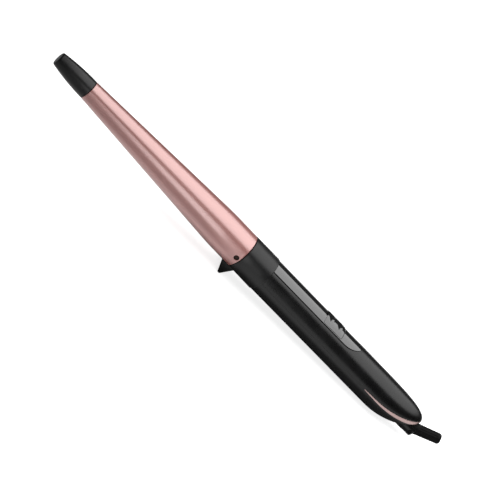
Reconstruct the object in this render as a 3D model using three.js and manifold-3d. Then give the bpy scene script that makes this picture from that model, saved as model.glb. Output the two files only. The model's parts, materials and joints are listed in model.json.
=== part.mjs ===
// Curling wand: a heated tapered barrel on a round handle, with a slide switch and a swivelling cord outlet.
// Millimetres, +Z up. The wand is built along X with its barrel tip towards -X, then tipped to lie as it does
// on a table, on its foot and the underside of its handle. The origin is the middle of the foot's rest face.

import * as THREE from "three";
import { mergeVertices } from "three/addons/utils/BufferGeometryUtils.js";
import Module from "manifold-3d";

const wasm = await Module();
wasm.setup();

// Clearances, cutters and facet counts
const seatGap = 0.3; // between two pieces that seat on each other
const runningGap = 0.3; // round a piece that turns or slides
const overrun = 2; // how far a cutter runs past its work
const weldDistance = 0.0002; // closer points are one point
const roundSides = 40; // sides of the large round forms
const smallSides = 16; // sides of pins, screws and holes
const wireSides = 8;
const wireSteps = 3; // rings along each stretch of a wire
const tailSteps = 8; // rings along the handle's rounded end
const curveSteps = 6; // steps along a drawn curve

// Barrel: straight behind, tapered to the tip. It starts at x = 0, against the collar.
const barrelLength = 139.3;
const barrelRadius = 12.5;
const barrelTipRadius = 6.7;
const barrelStraight = 20.4;
const barrelWall = 0.8;

// Cool tip and the holder that carries it
const tipLength = 26.4;
const tipEndRadius = 4.7;
const tipEdge = 1.1;
const noseLength = 12;
const noseRadius = 4.7;
const holderSpigot = 9;
const holderBore = 2.8;
const holderWeb = 3;

// Heater: a ceramic plate between two electrodes, in an insulating sleeve, clamped by two half-round plates
const heaterSetback = 34; // from the barrel's rear end to the clamp plates
const clampLength = 68;
const clampWall = 1.6; // round the hollow of each plate
const sleeveLength = 66;
const sleeveWall = 0.4;
const electrodeLength = 62;
const electrodeWidth = 9;
const electrodeThickness = 0.5;
const tabWidth = 3;
const tabLength = 8;
const ceramicLength = 60;
const ceramicThickness = 2.4;
const springLength = 34;
const springWidth = 1.8;
const springStrip = 0.4;
const springWaves = 3;
const springSetback = 4; // from the rear end of the clamp plates

// Thermal fuse, in the live line behind its electrode
const fuseRadius = 1.6;
const fuseLength = 9;
const fusePinRadius = 0.5;
const fusePinLength = 2;

// Barrel socket: carries the barrel in front, held in the handle behind
const socketSpigot = 11;
const socketShoulder = 6.3; // behind the barrel
const socketLength = 19; // behind the barrel
const socketBore = 5.5;
const socketGroove = 12; // from the barrel's end to the rib that locks the socket
const socketRib = 2;
const socketRibDepth = 1.5;

// Collar with its foot
const collarLength = 20.3;
const collarFrontRadius = 12.57;
const collarRearRadius = 12.75;
const collarEdge = 0.35;
const footDrop = 18.6; // from the barrel's axis to the rest face
const footWidth = 17;
const footLength = 10.6; // where it leaves the collar
const footTip = 1.6; // length of the rest face
const footRoot = 9.4; // height on the collar where its flanks start
const footLean = 0.7; // how far its root lies in front of its tip

// Handle: a round bar with a bullet-shaped end that sweeps up
const handleRadius = 12.4;
const handleWall = 3;
const handleStraight = 107.4;
const tailLength = 35.6;
const riseAtTail = 1.13; // the centre line's rise where the rounded end starts
const riseAtEnd = 7.5; // and at its tip
const partingRise = 0.93; // the parting line's height over the centre line
const neckWall = 2;

// Control panel, flush with the handle's top
const panelThickness = 1.2;
const panelHalfWidth = 6.7;
const panelPastScrew = 5.8; // how far it reaches behind the rear shell screw
const panelEnd = 12.5; // length of its rounded end

// Trim band on the parting line, round the handle's end
const trimLead = 10; // how far it starts in front of the rounded end
const trimStartHalf = 0.2;
const trimEndHalf = 1.8;
const trimDepth = 1.2;
const trimProud = 0.15;

// Slide switch: a knob on the panel, its slider and the switch below
const knobSetback = 13.4; // from the circuit board's rear end to the knob's middle
const knobLength = 16.4;
const knobWidth = 13.2;
const knobCorner = 0.8;
const knobProud = 0.7;
const ridgeProud = 1.3;
const ridgeLength = 5;
const ridgeSpacing = 7.8;
const switchTravel = 6;
const stemLength = 5;
const stemWidth = 3;
const sliderLength = 8;
const sliderWidth = 3.4;
const sliderHeight = 2.8;
const switchLength = 18;
const switchWidth = 8;
const switchHeight = 6.2;
const switchFloor = 2.6;

// Circuit board and its diode
const boardSetback = 25.4; // from the handle's front
const boardLength = 42;
const boardWidth = 14;
const boardThickness = 1.6;
const boardRise = 1.4; // its top over the centre line
const ribInset = 4; // from a board's end to the rib that carries it
const ribThickness = 1.6;
const diodeRadius = 1.5;
const diodeLength = 5;
const diodeInset = 8; // from the board's front edge
const diodeLegRadius = 0.4;
const diodeLegLength = 2;

// Shell screws, under the panel
const frontScrewSetback = 11.4; // from the handle's front
const columnRadius = 3.9;
const columnRoom = 1.1; // between the circuit board and the rear column
const screwHeadRadius = 2.5;
const screwHeadHeight = 1.8;
const screwHeadSeat = 7.4; // over the centre line
const screwShankRadius = 1.4;
const screwLength = 13;

// Barrel screw, on the side above the foot
const barrelScrewSetback = 3;
const barrelScrewAngle = 4; // degrees above the axis
const barrelScrewHead = 1.55;
const barrelScrewShank = 1.1;
const barrelScrewLength = 5;

// Tip screw
const tipScrewHead = 2.2;
const tipScrewHeadHeight = 1.6;
const tipScrewShank = 1.1;
const tipScrewReach = 7; // into the cap

// Swivel: a drum that turns in the handle's end, with a collar that keeps it in and two slip rings
const drumRadius = 5.45;
const drumProud = 2.1; // past the handle's end
const keeperRadius = 6.8;
const keeperSetback = 24.2; // from the drum's end to the keeper's front
const keeperLength = 2.5;
const keeperWall = 2.4; // the rib in front of the keeper
const journalRadius = 3.2;
const journalLength = 15; // in front of the keeper
const cordBore = 2;
const ringOuter = 4.6;
const ringLength = 3;
const liveRingSetback = 12; // from the keeper's front to the ring's middle
const neutralRingSetback = 6;

// Contact springs, bowed up against the rings, and their carrier
const leafHalfSpan = 4.4;
const leafSag = 0.8;
const leafStrip = 0.4;
const leafWidth = 2.4;
const carrierSetback = 14.7; // from the keeper's front to the carrier's
const carrierLength = 11.6;
const carrierHalfWidth = 5.2;
const carrierWall = 1.8; // of the handle below the carrier's pocket
const carrierTrough = 0.9;
const carrierShelf = 2.2; // width of each raised end

// Cord boot, tilting on two trunnions in the drum's fork
const pivotSetback = 2.3; // from the drum's end
const bootRadius = 3.9;
const bootEndRadius = 3.65;
const bootLength = 21;
const bootEdge = 0.9;
const bootBore = 2.6;
const bootTilt = 26.5; // degrees above the axis, at rest
const trunnionRadius = 1.2;

// Wires
const leadRadius = 0.8;
const leadOffset = 2.5; // from the axis, where the two run side by side

const barrelColour = 0xd9a79c;
const trimColour = 0xe0b8ae;
const blackColour = 0x1b1b1d;
const glossColour = 0x0c0c0e;
const rubberColour = 0x222224;
const steelColour = 0xb8bcc0;
const brassColour = 0xc9a55a;
const clampColour = 0xb4b6b8;
const ceramicColour = 0x8f8b84;
const filmColour = 0xb5762f;
const holderColour = 0x3c332c;
const boardColour = 0x2f6b45;
const liveColour = 0x7a4a2a;
const neutralColour = 0x35589a;

const rosePlate = new THREE.MeshStandardMaterial({ color: barrelColour, roughness: 0.34, metalness: 0.9 });
const roseTrim = new THREE.MeshStandardMaterial({ color: trimColour, roughness: 0.22, metalness: 0.95 });
const satinBlack = new THREE.MeshStandardMaterial({ color: blackColour, roughness: 0.5, metalness: 0 });
const glossBlack = new THREE.MeshStandardMaterial({ color: glossColour, roughness: 0.12, metalness: 0 });
const softBlack = new THREE.MeshStandardMaterial({ color: rubberColour, roughness: 0.75, metalness: 0 });
const steel = new THREE.MeshStandardMaterial({ color: steelColour, roughness: 0.35, metalness: 1 });
const brass = new THREE.MeshStandardMaterial({ color: brassColour, roughness: 0.3, metalness: 1 });
const castAluminium = new THREE.MeshStandardMaterial({ color: clampColour, roughness: 0.5, metalness: 1 });
const ceramic = new THREE.MeshStandardMaterial({ color: ceramicColour, roughness: 0.8, metalness: 0 });
const film = new THREE.MeshStandardMaterial({ color: filmColour, roughness: 0.4, metalness: 0 });
const heatPlastic = new THREE.MeshStandardMaterial({ color: holderColour, roughness: 0.6, metalness: 0 });
const boardGreen = new THREE.MeshStandardMaterial({ color: boardColour, roughness: 0.5, metalness: 0 });
const liveWire = new THREE.MeshStandardMaterial({ color: liveColour, roughness: 0.5, metalness: 0 });
const neutralWire = new THREE.MeshStandardMaterial({ color: neutralColour, roughness: 0.5, metalness: 0 });

const radians = THREE.MathUtils.degToRad;
const handleFront = collarLength + seatGap;
const tailStart = handleFront + handleStraight;
const handleEnd = tailStart + tailLength;
const reach = barrelLength + tipLength + handleEnd; // longer than any piece, for cutters that pass through

// Solids

function solid(geometry) {
  const flat = geometry.index ? geometry.toNonIndexed() : geometry;
  const bare = new THREE.BufferGeometry();
  bare.setAttribute("position", flat.getAttribute("position"));
  const welded = mergeVertices(bare, weldDistance);
  const triVerts = new Uint32Array(welded.index.array);
  const vertProperties = welded.getAttribute("position").array;
  return new wasm.Manifold(new wasm.Mesh({ numProp: 3, vertProperties, triVerts }));
}

function join(first, ...others) {
  return others.reduce((body, other) => body.add(other), first);
}

function cut(first, ...others) {
  return others.reduce((body, other) => body.subtract(other), first);
}

// Geometry turned about the X axis. The outline's points are [place along X, radius].
function turnedGeometry(outline, sides = roundSides) {
  const points = outline.map(([x, r]) => new THREE.Vector2(r, x));
  if (THREE.ShapeUtils.area(points) < 0) points.reverse();
  points.push(points[0].clone());
  return new THREE.LatheGeometry(points, sides).rotateZ(-Math.PI / 2);
}

function turned(outline, sides) {
  return solid(turnedGeometry(outline, sides));
}

// A round bar along X between two places.
function bar(radius, from, to, sides) {
  return turned([[from, 0], [from, radius], [to, radius], [to, 0]], sides);
}

// A ring along X between two places.
function ring(inner, outer, from, to, sides) {
  return turned([[from, inner], [from, outer], [to, outer], [to, inner]], sides);
}

// A round rod between two points.
function rod(radius, from, to, sides = smallSides) {
  const along = new THREE.Vector3().subVectors(to, from);
  const yAxis = new THREE.Vector3(0, 1, 0);
  const turn = new THREE.Quaternion().setFromUnitVectors(yAxis, along.clone().normalize());
  const middle = new THREE.Vector3().addVectors(from, to).multiplyScalar(0.5);
  const geometry = new THREE.CylinderGeometry(radius, radius, along.length(), sides);
  return solid(geometry.applyQuaternion(turn).translate(middle.x, middle.y, middle.z));
}

function block([x0, x1], [y0, y1], [z0, z1]) {
  const geometry = new THREE.BoxGeometry(x1 - x0, y1 - y0, z1 - z0);
  return solid(geometry.translate((x0 + x1) / 2, (y0 + y1) / 2, (z0 + z1) / 2));
}

function extruded(shape, depth) {
  return new THREE.ExtrudeGeometry(shape, { depth, bevelEnabled: false, curveSegments: curveSteps });
}

// A shape drawn in plan, (x, y), raised between two heights.
function prismUp(shape, from, to) {
  return solid(extruded(shape, to - from).translate(0, 0, from));
}

// A shape drawn in side view, (x, z), carried across between two places in Y.
function prismAcross(shape, from, to) {
  return solid(extruded(shape, to - from).rotateX(Math.PI / 2).translate(0, to, 0));
}

// A shape drawn from the end, (y, z), carried along between two places in X.
function prismAlong(shape, from, to) {
  return solid(extruded(shape, to - from).rotateX(Math.PI / 2).rotateZ(Math.PI / 2).translate(from, 0, 0));
}

function shapeOf(points) {
  return new THREE.Shape(points.map(([a, b]) => new THREE.Vector2(a, b)));
}

// A strip of even thickness on both sides of a line of [a, b] points.
function stripShape(line, thickness) {
  const sides = line.map(([a, b], i) => {
    const [a0, b0] = line[Math.max(i - 1, 0)];
    const [a1, b1] = line[Math.min(i + 1, line.length - 1)];
    const half = thickness / 2 / Math.hypot(a1 - a0, b1 - b0);
    const across = [(b0 - b1) * half, (a1 - a0) * half];
    return [[a + across[0], b + across[1]], [a - across[0], b - across[1]]];
  });
  return shapeOf([...sides.map((pair) => pair[1]), ...sides.map((pair) => pair[0]).reverse()]);
}

// A rectangle with rounded corners about the middle (a, b).
function roundedShape(a, b, length, width, corner) {
  const shape = new THREE.Shape();
  const [left, right, low, high] = [a - length / 2, a + length / 2, b - width / 2, b + width / 2];
  shape.moveTo(left + corner, low);
  shape.lineTo(right - corner, low);
  shape.absarc(right - corner, low + corner, corner, -Math.PI / 2, 0);
  shape.lineTo(right, high - corner);
  shape.absarc(right - corner, high - corner, corner, 0, Math.PI / 2);
  shape.lineTo(left + corner, high);
  shape.absarc(left + corner, high - corner, corner, Math.PI / 2, Math.PI);
  shape.lineTo(left, low + corner);
  shape.absarc(left + corner, low + corner, corner, Math.PI, Math.PI * 1.5);
  return shape;
}

// An insulated wire along a smooth route.
function wire(points) {
  const route = new THREE.CatmullRomCurve3(points.map(([x, y, z]) => new THREE.Vector3(x, y, z)));
  const section = new THREE.Shape().absarc(0, 0, leadRadius, 0, Math.PI * 2);
  const steps = (points.length - 1) * wireSteps;
  const form = { extrudePath: route, steps, bevelEnabled: false, curveSegments: wireSides / 2 };
  return solid(new THREE.ExtrudeGeometry(section, form));
}

// A quarter round from a turned side at (x, r) in to a flat end, which faces along X by the sign of way.
function endRound(x, r, size, way) {
  const end = way > 0 ? 0 : Math.PI;
  const curve = new THREE.EllipseCurve(x, r - size, size, size, Math.PI / 2, end, way > 0);
  return curve.getPoints(curveSteps / 2).map((point) => [point.x, point.y]);
}

// The barrel's outside and its bore

function barrelOuter(x) {
  const along = Math.max(0, -x - barrelStraight) / (barrelLength - barrelStraight);
  return barrelRadius + (barrelTipRadius - barrelRadius) * along;
}

function boreRadius(x) {
  return barrelOuter(x) - barrelWall;
}

// A body that fills the barrel's bore between two places, at a gap from its wall.
function boreFill(gap, from, to) {
  const turns = [from, -barrelStraight, to].filter((x) => x >= from && x <= to);
  return turned([[from, 0], ...turns.map((x) => [x, boreRadius(x) - gap]), [to, 0]]);
}

// The handle's outside: its radius and the height of its centre line at each place

function tailShare(x, depth = 0) {
  return Math.min(1, Math.max(0, (x - tailStart) / (tailLength - depth)));
}

function sectionRadius(x, depth = 0) {
  return (handleRadius - depth) * Math.sqrt(1 - tailShare(x, depth) ** 2);
}

function centreHeight(x) {
  const straight = Math.max(0, Math.min(1, (x - collarLength) / (tailStart - collarLength)));
  return riseAtTail * straight + (riseAtEnd - riseAtTail) * tailShare(x) ** 2;
}

// The places between two ends where the handle's outline bends.
function stations(from, to, depth = 0) {
  const turns = Array.from({ length: tailSteps + 1 }, (_, i) => Math.sin(((i / tailSteps) * Math.PI) / 2));
  const places = [collarLength, ...turns.map((share) => tailStart + (tailLength - depth) * share)];
  return [from, ...places.filter((x) => x > from && x < to), to];
}

// Lifts a turned geometry onto the handle's centre line.
function lifted(geometry) {
  const place = geometry.getAttribute("position");
  for (let i = 0; i < place.count; i++) {
    place.setZ(i, place.getZ(i) + centreHeight(place.getX(i)));
  }
  return solid(geometry);
}

// The handle's round form at a depth below its surface, between two places.
function handleBody(depth, from, to = tailStart + tailLength - depth) {
  const outline = stations(from, to, depth).map((x) => [x, sectionRadius(x, depth)]);
  return lifted(turnedGeometry([[from, 0], ...outline, [to, 0]]));
}

// Everything below the parting line, moved up or down by a shift.
function belowParting(shift) {
  const line = stations(0, handleEnd).map((x) => [x, partingHeight(x) + shift]);
  const [front, end] = [line[0][1], line.at(-1)[1]];
  const corners = [[-reach, front], [-reach, -reach], [reach, -reach], [reach, end]];
  return prismAcross(shapeOf([...corners, ...line.reverse()]), -reach, reach);
}

function partingHeight(x) {
  return centreHeight(x) + (partingRise * sectionRadius(x)) / handleRadius;
}

// Barrel and tip

const socketRadius = barrelRadius - barrelWall - seatGap;
const screwTurn = radians(barrelScrewAngle);
const screwSide = new THREE.Vector3(0, -Math.cos(screwTurn), Math.sin(screwTurn));

// A point on the barrel screw's line at a radius from the axis.
function onScrewLine(radius) {
  return screwSide.clone().multiplyScalar(radius).setX(-barrelScrewSetback);
}

function makeBarrel() {
  const outside = [-barrelLength, -barrelStraight, -seatGap].map((x) => [x, barrelOuter(x)]);
  const inside = outside.map(([x, r]) => [x, r - barrelWall]).reverse();
  const hole = rod(barrelScrewHead + seatGap, onScrewLine(0), onScrewLine(barrelRadius + overrun));
  return cut(turned([...outside, ...inside]), hole);
}

const tipFront = -barrelLength - seatGap;
const tipRear = -barrelLength - tipLength;
const noseEnd = -barrelLength - noseLength;

// Cap: its side curves in to a rounded edge and a flat end.
function makeCoolTip() {
  const curveEnd = tipRear + tipEdge;
  const side = new THREE.QuadraticBezierCurve(
    new THREE.Vector2(tipFront, barrelTipRadius),
    new THREE.Vector2((tipFront + curveEnd) / 2, barrelTipRadius),
    new THREE.Vector2(curveEnd, tipEndRadius),
  );
  const flank = side.getPoints(curveSteps).map((point) => [point.x, point.y]);
  const edge = endRound(curveEnd, tipEndRadius, tipEdge, -1);
  const cap = turned([[tipFront, 0], ...flank.slice(0, -1), ...edge, [tipRear, 0]]);
  const socket = bar(noseRadius + seatGap, noseEnd - seatGap, tipFront + overrun);
  const pilot = bar(tipScrewShank + seatGap, noseEnd - tipScrewReach - seatGap, noseEnd, smallSides);
  return cut(cap, socket, pilot);
}

function makeTipHolder() {
  const spigotEnd = -barrelLength + holderSpigot;
  const body = turned([
    [noseEnd, 0],
    [noseEnd, noseRadius],
    [-barrelLength, noseRadius],
    [-barrelLength, boreRadius(-barrelLength) - seatGap],
    [spigotEnd, boreRadius(spigotEnd) - seatGap],
    [spigotEnd, 0],
  ]);
  const recess = bar(holderBore, noseEnd + holderWeb, spigotEnd + overrun, smallSides);
  const hole = bar(tipScrewShank + seatGap, noseEnd - overrun, noseEnd + holderWeb + overrun, smallSides);
  return cut(body, recess, hole);
}

function makeTipScrew() {
  const seat = noseEnd + holderWeb + seatGap;
  const top = seat + tipScrewHeadHeight;
  const end = noseEnd - tipScrewReach;
  const outline = [
    [end, 0],
    [end, tipScrewShank],
    [seat, tipScrewShank],
    [seat, tipScrewHead],
    [top, tipScrewHead],
    [top, 0],
  ];
  return turned(outline, smallSides);
}

// Heater

const clampRear = -heaterSetback;
const clampFront = clampRear - clampLength;
const heaterMiddle = (clampRear + clampFront) / 2;
const electrodeInner = ceramicThickness / 2 + seatGap;
const electrodeOuter = electrodeInner + electrodeThickness;
const electrodeMiddle = (electrodeInner + electrodeOuter) / 2;
const sleeveInner = electrodeOuter + seatGap;
const sleeveOuter = sleeveInner + sleeveWall;
const sleeveHalfWidth = electrodeWidth / 2 + seatGap + sleeveWall;
const clampFace = sleeveOuter + seatGap;
const tabEnd = heaterMiddle + electrodeLength / 2 + tabLength;

// One hollow clamp plate fills its half of the bore above (side 1) or below (side -1) the sleeve.
function makeClampPlate(side) {
  const above = (face) => block([-reach, reach], [-reach, reach], side > 0 ? [face, reach] : [-reach, -face]);
  const plate = boreFill(seatGap, clampFront, clampRear).intersect(above(clampFace));
  const hollow = boreFill(seatGap + clampWall, clampFront - overrun, clampRear + overrun);
  return cut(plate, hollow.intersect(above(clampFace + clampWall)));
}

function makeCeramic() {
  const length = [heaterMiddle - ceramicLength / 2, heaterMiddle + ceramicLength / 2];
  const width = [-electrodeWidth / 2, electrodeWidth / 2];
  return block(length, width, [-ceramicThickness / 2, ceramicThickness / 2]);
}

// An electrode strip with a narrow tab behind, on one face of the ceramic.
function makeElectrode(side) {
  const [front, rear] = [heaterMiddle - electrodeLength / 2, heaterMiddle + electrodeLength / 2];
  const half = electrodeWidth / 2;
  const [tabNear, tabFar] = [-side * leadOffset - tabWidth / 2, -side * leadOffset + tabWidth / 2];
  const plan = shapeOf([
    [front, -half],
    [rear, -half],
    [rear, tabNear],
    [tabEnd, tabNear],
    [tabEnd, tabFar],
    [rear, tabFar],
    [rear, half],
    [front, half],
  ]);
  const [low, high] = side > 0 ? [electrodeInner, electrodeOuter] : [-electrodeOuter, -electrodeInner];
  return prismUp(plan, low, high);
}

function makeSleeve() {
  const corner = sleeveWall * 2;
  const section = roundedShape(0, 0, sleeveHalfWidth * 2, sleeveOuter * 2, corner);
  const inside = roundedShape(0, 0, (sleeveHalfWidth - sleeveWall) * 2, sleeveInner * 2, corner - sleeveWall);
  section.holes.push(new THREE.Path(inside.getPoints(curveSteps / 2)));
  return prismAlong(section, heaterMiddle - sleeveLength / 2, heaterMiddle + sleeveLength / 2);
}

// A waved strip that spreads the clamp plates against the bore, on one side of the sleeve.
function makeSpreader(side) {
  const rear = clampRear - springSetback;
  const height = clampFace - seatGap - springStrip / 2;
  const steps = springWaves * curveSteps;
  const line = Array.from({ length: steps + 1 }, (_, i) => {
    const share = i / steps;
    return [rear - springLength * (1 - share), height * Math.cos(share * springWaves * Math.PI * 2)];
  });
  const near = sleeveHalfWidth + seatGap;
  const [from, to] = side > 0 ? [near, near + springWidth] : [-near - springWidth, -near];
  return prismAcross(stripShape(line, springStrip), from, to);
}

const fuseFront = tabEnd + seatGap;
const fuseRear = fuseFront + fuseLength + 2 * fusePinLength;

function makeThermalFuse() {
  const [bodyFront, bodyRear] = [fuseFront + fusePinLength, fuseRear - fusePinLength];
  const outline = [
    [fuseFront, 0],
    [fuseFront, fusePinRadius],
    [bodyFront, fusePinRadius],
    [bodyFront, fuseRadius],
    [bodyRear, fuseRadius],
    [bodyRear, fusePinRadius],
    [fuseRear, fusePinRadius],
    [fuseRear, 0],
  ];
  return turned(outline, smallSides).translate([0, -leadOffset, electrodeMiddle]);
}

// Socket, barrel screw and collar

const collarBore = socketRadius + seatGap;
const neckFront = socketShoulder + seatGap;
const neckInner = socketRadius - neckWall;
const neckRibRadius = neckInner - socketRibDepth;

function makeBarrelSocket() {
  const shank = neckInner - seatGap;
  const groove = neckRibRadius - seatGap;
  const [grooveFront, grooveRear] = [socketGroove - seatGap, socketGroove + socketRib + seatGap];
  const body = turned([
    [-socketSpigot, socketBore],
    [-socketSpigot, socketRadius],
    [socketShoulder, socketRadius],
    [socketShoulder, shank],
    [grooveFront, shank],
    [grooveFront, groove],
    [grooveRear, groove],
    [grooveRear, shank],
    [socketLength, shank],
    [socketLength, socketBore],
  ]);
  const depth = barrelRadius - barrelWall - barrelScrewLength - seatGap;
  const hole = rod(barrelScrewShank + seatGap, onScrewLine(depth), onScrewLine(barrelRadius + overrun));
  return cut(body, hole);
}

// The screw's head sits in the barrel's hole and pins the barrel to the socket.
function makeBarrelScrew() {
  const seat = socketRadius + seatGap;
  const end = onScrewLine(seat - barrelScrewLength);
  const shank = rod(barrelScrewShank, end, onScrewLine(seat + weldDistance));
  const head = rod(barrelScrewHead, onScrewLine(seat), onScrewLine(barrelRadius - weldDistance));
  return join(shank, head);
}

// The table touches the foot and the lowest ring of the handle that a line from the foot can meet.
function findRestSlope() {
  const slopes = stations(handleFront, handleEnd)
    .slice(1)
    .map((x) => (centreHeight(x) - sectionRadius(x) + footDrop) / x);
  return Math.min(...slopes);
}

const restSlope = findRestSlope();

function makeCollar() {
  const [front, rear] = [0, collarLength];
  const sleeve = turned([
    [front, 0],
    [front, collarFrontRadius - collarEdge],
    [front + collarEdge, collarFrontRadius],
    [rear - collarEdge, collarRearRadius],
    [rear, collarRearRadius - collarEdge],
    [rear, 0],
  ]);
  const [root, tip] = [footLength / 2, footTip / 2];
  const flank = shapeOf([
    [-root - footLean, -footRoot],
    [-root - footLean, 0],
    [root - footLean, 0],
    [root - footLean, -footRoot],
    [tip, -footDrop + tip * restSlope],
    [-tip, -footDrop - tip * restSlope],
  ]);
  const foot = prismAcross(flank, -footWidth / 2, footWidth / 2);
  const barrelRoom = bar(barrelRadius + seatGap, -reach, front);
  const bore = bar(collarBore, -overrun, reach);
  const frontRoom = block([-reach, front], [-reach, reach], [-footRoot, reach]);
  return cut(join(sleeve, foot), barrelRoom, frontRoom, bore);
}

// Handle shells

const frontScrewX = handleFront + frontScrewSetback;
const boardFront = handleFront + boardSetback;
const boardRear = boardFront + boardLength;
const rearScrewX = boardRear + columnRoom + columnRadius;
const knobCentre = boardRear - knobSetback;
const trimStart = tailStart - trimLead;
const drumEnd = handleEnd + drumProud;
const pivotX = drumEnd - pivotSetback;
const keeperFront = drumEnd - keeperSetback;
const carrierFront = keeperFront - carrierSetback;
const carrierRear = carrierFront + carrierLength;
const recessDepth = panelThickness + seatGap;
const panelRear = rearScrewX + panelPastScrew - panelEnd;
const drumBore = drumRadius + runningGap;
const keeperRoom = { front: keeperFront - runningGap, rear: keeperFront + keeperLength + runningGap };
const ribFace = keeperRoom.front - keeperWall;

// The panel's outline in plan, grown all round by a gap: square in front, half an ellipse behind.
function panelShape(gap) {
  const half = panelHalfWidth + gap;
  const length = panelEnd + gap;
  const shape = new THREE.Shape();
  shape.moveTo(handleFront - gap, -half);
  shape.lineTo(panelRear, -half);
  shape.absellipse(panelRear, 0, length, half, -Math.PI / 2, Math.PI / 2);
  shape.lineTo(handleFront - gap, half);
  return shape;
}

// A layer of the handle's skin between two depths, within a plan outline on its top side.
function topSkin(shape, outerDepth, innerDepth) {
  const layer = cut(
    handleBody(outerDepth, handleFront - seatGap, panelRear + panelEnd + overrun),
    handleBody(innerDepth, handleFront - overrun, panelRear + panelEnd + 2 * overrun),
  );
  return layer.intersect(prismUp(shape, 0, reach));
}

// The trim's outline in side view, grown all round by a gap: a band on the parting line, wider to the end.
function trimShape(gap) {
  const [start, end] = [trimStart - gap, handleEnd + overrun];
  const places = stations(start, handleEnd);
  const half = (x) => gap + THREE.MathUtils.mapLinear(x, start, handleEnd, trimStartHalf, trimEndHalf);
  const top = places.map((x) => [x, partingHeight(x) + half(x)]);
  const bottom = places.map((x) => [x, partingHeight(x) - half(x)]);
  return shapeOf([...bottom, [end, bottom.at(-1)[1]], [end, top.at(-1)[1]], ...top.reverse()]);
}

function trimBand(gap, outerDepth, innerDepth) {
  const front = trimStart - overrun;
  const layer = cut(handleBody(outerDepth, front), handleBody(innerDepth, front - overrun));
  return layer.intersect(prismAcross(trimShape(gap), -reach, reach));
}

// The room the boot sweeps out as the swivel turns: a cone that opens behind the drum's bore.
function bootSweep() {
  const narrow = bootRadius / Math.cos(radians(bootTilt)) + runningGap;
  const end = handleEnd + overrun;
  const wide = narrow + Math.tan(radians(bootTilt)) * (end - pivotX);
  return turned([[pivotX, 0], [pivotX, narrow], [end, wide], [end, 0]]);
}

// The bore in the handle's end that the drum turns in.
function drumTunnel() {
  return bar(drumBore, keeperRoom.rear - overrun, handleEnd + overrun);
}

// An upright rod at a place along the handle.
function upright(radius, x, low, high) {
  return rod(radius, new THREE.Vector3(x, 0, low), new THREE.Vector3(x, 0, high));
}

function screwColumn(x) {
  const column = upright(columnRadius, x, -handleRadius, handleRadius);
  return column.intersect(handleBody(handleWall / 2, handleFront));
}

function screwBore(x) {
  const seat = centreHeight(x) + screwHeadSeat;
  const hole = upright(screwShankRadius + seatGap, x, seat - screwLength - seatGap, seat + overrun);
  return join(hole, upright(screwHeadRadius + seatGap, x, seat, seat + handleRadius));
}

// The whole handle before it is parted: skin, neck, columns for the screws and walls round the swivel.
function makeHandleForm() {
  const neck = bar(socketRadius, neckFront, handleFront + handleWall);
  const hollow = handleBody(handleWall, handleFront + handleWall, ribFace);
  const neckHollow = bar(neckInner, neckFront - overrun, handleFront + handleWall + overrun);
  const lockingRib = ring(neckRibRadius, neckInner + neckWall / 2, socketGroove, socketGroove + socketRib);
  const walls = cut(join(handleBody(0, handleFront), neck), hollow, neckHollow);
  const form = join(walls, lockingRib, screwColumn(frontScrewX), screwColumn(rearScrewX));
  return cut(
    form,
    bar(journalRadius + runningGap, ribFace - overrun, keeperRoom.front + overrun),
    bar(keeperRadius + runningGap, keeperRoom.front, keeperRoom.rear),
    drumTunnel(),
    bootSweep(),
    topSkin(panelShape(seatGap), -overrun, recessDepth),
    trimBand(seatGap, -overrun, trimDepth + seatGap),
    screwBore(frontScrewX),
    screwBore(rearScrewX),
  );
}

const boardTop = centreHeight(knobCentre) + boardRise;
const boardBottom = boardTop - boardThickness;

// A cross rib of a shell, between two heights, inside the handle's wall.
function crossRib(x, [low, high]) {
  const rib = block([x - ribThickness / 2, x + ribThickness / 2], [-handleRadius, handleRadius], [low, high]);
  return rib.intersect(handleBody(handleWall / 2, handleFront));
}

const ribPlaces = [boardFront + ribInset, boardRear - ribInset];

function slotShape(gap) {
  const length = stemLength + switchTravel + 2 * (runningGap + gap);
  const width = stemWidth + 2 * (runningGap + gap);
  return roundedShape(knobCentre - switchTravel / 2, 0, length, width, 2 * runningGap);
}

function makeUpperShell(form) {
  const ribs = ribPlaces.map((x) => crossRib(x, [boardTop + seatGap, handleRadius]));
  const shell = join(cut(form, belowParting(seatGap / 2)), ...ribs);
  const recess = topSkin(panelShape(seatGap), -overrun, recessDepth);
  return cut(shell, prismUp(slotShape(seatGap), 0, reach), recess);
}

function makeLowerShell(form) {
  const ribs = ribPlaces.map((x) => crossRib(x, [-reach, boardBottom - seatGap]));
  const shell = join(form.intersect(belowParting(-seatGap / 2)), ...ribs);
  const half = carrierHalfWidth + seatGap;
  const [front, rear] = [carrierFront - seatGap, carrierRear + seatGap];
  const pocket = block([front, rear], [-half, half], [-reach, 0]);
  return cut(shell, pocket.intersect(handleBody(carrierWall, handleFront)));
}

function makePanel() {
  const plate = topSkin(panelShape(0), 0, panelThickness);
  return cut(plate, prismUp(slotShape(0), 0, reach));
}

function makeTrim() {
  return cut(trimBand(0, -trimProud, trimDepth), drumTunnel(), bootSweep());
}

// Screws of the shells

function makeShellScrew(x) {
  const seat = centreHeight(x) + screwHeadSeat + seatGap;
  const shank = upright(screwShankRadius, x, seat - screwLength, seat + screwHeadHeight / 2);
  return join(shank, upright(screwHeadRadius, x, seat, seat + screwHeadHeight));
}

// Switch and board

const switchBase = boardTop + seatGap;
const switchTop = switchBase + switchHeight;
const sliderTop = switchTop - seatGap;

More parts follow.
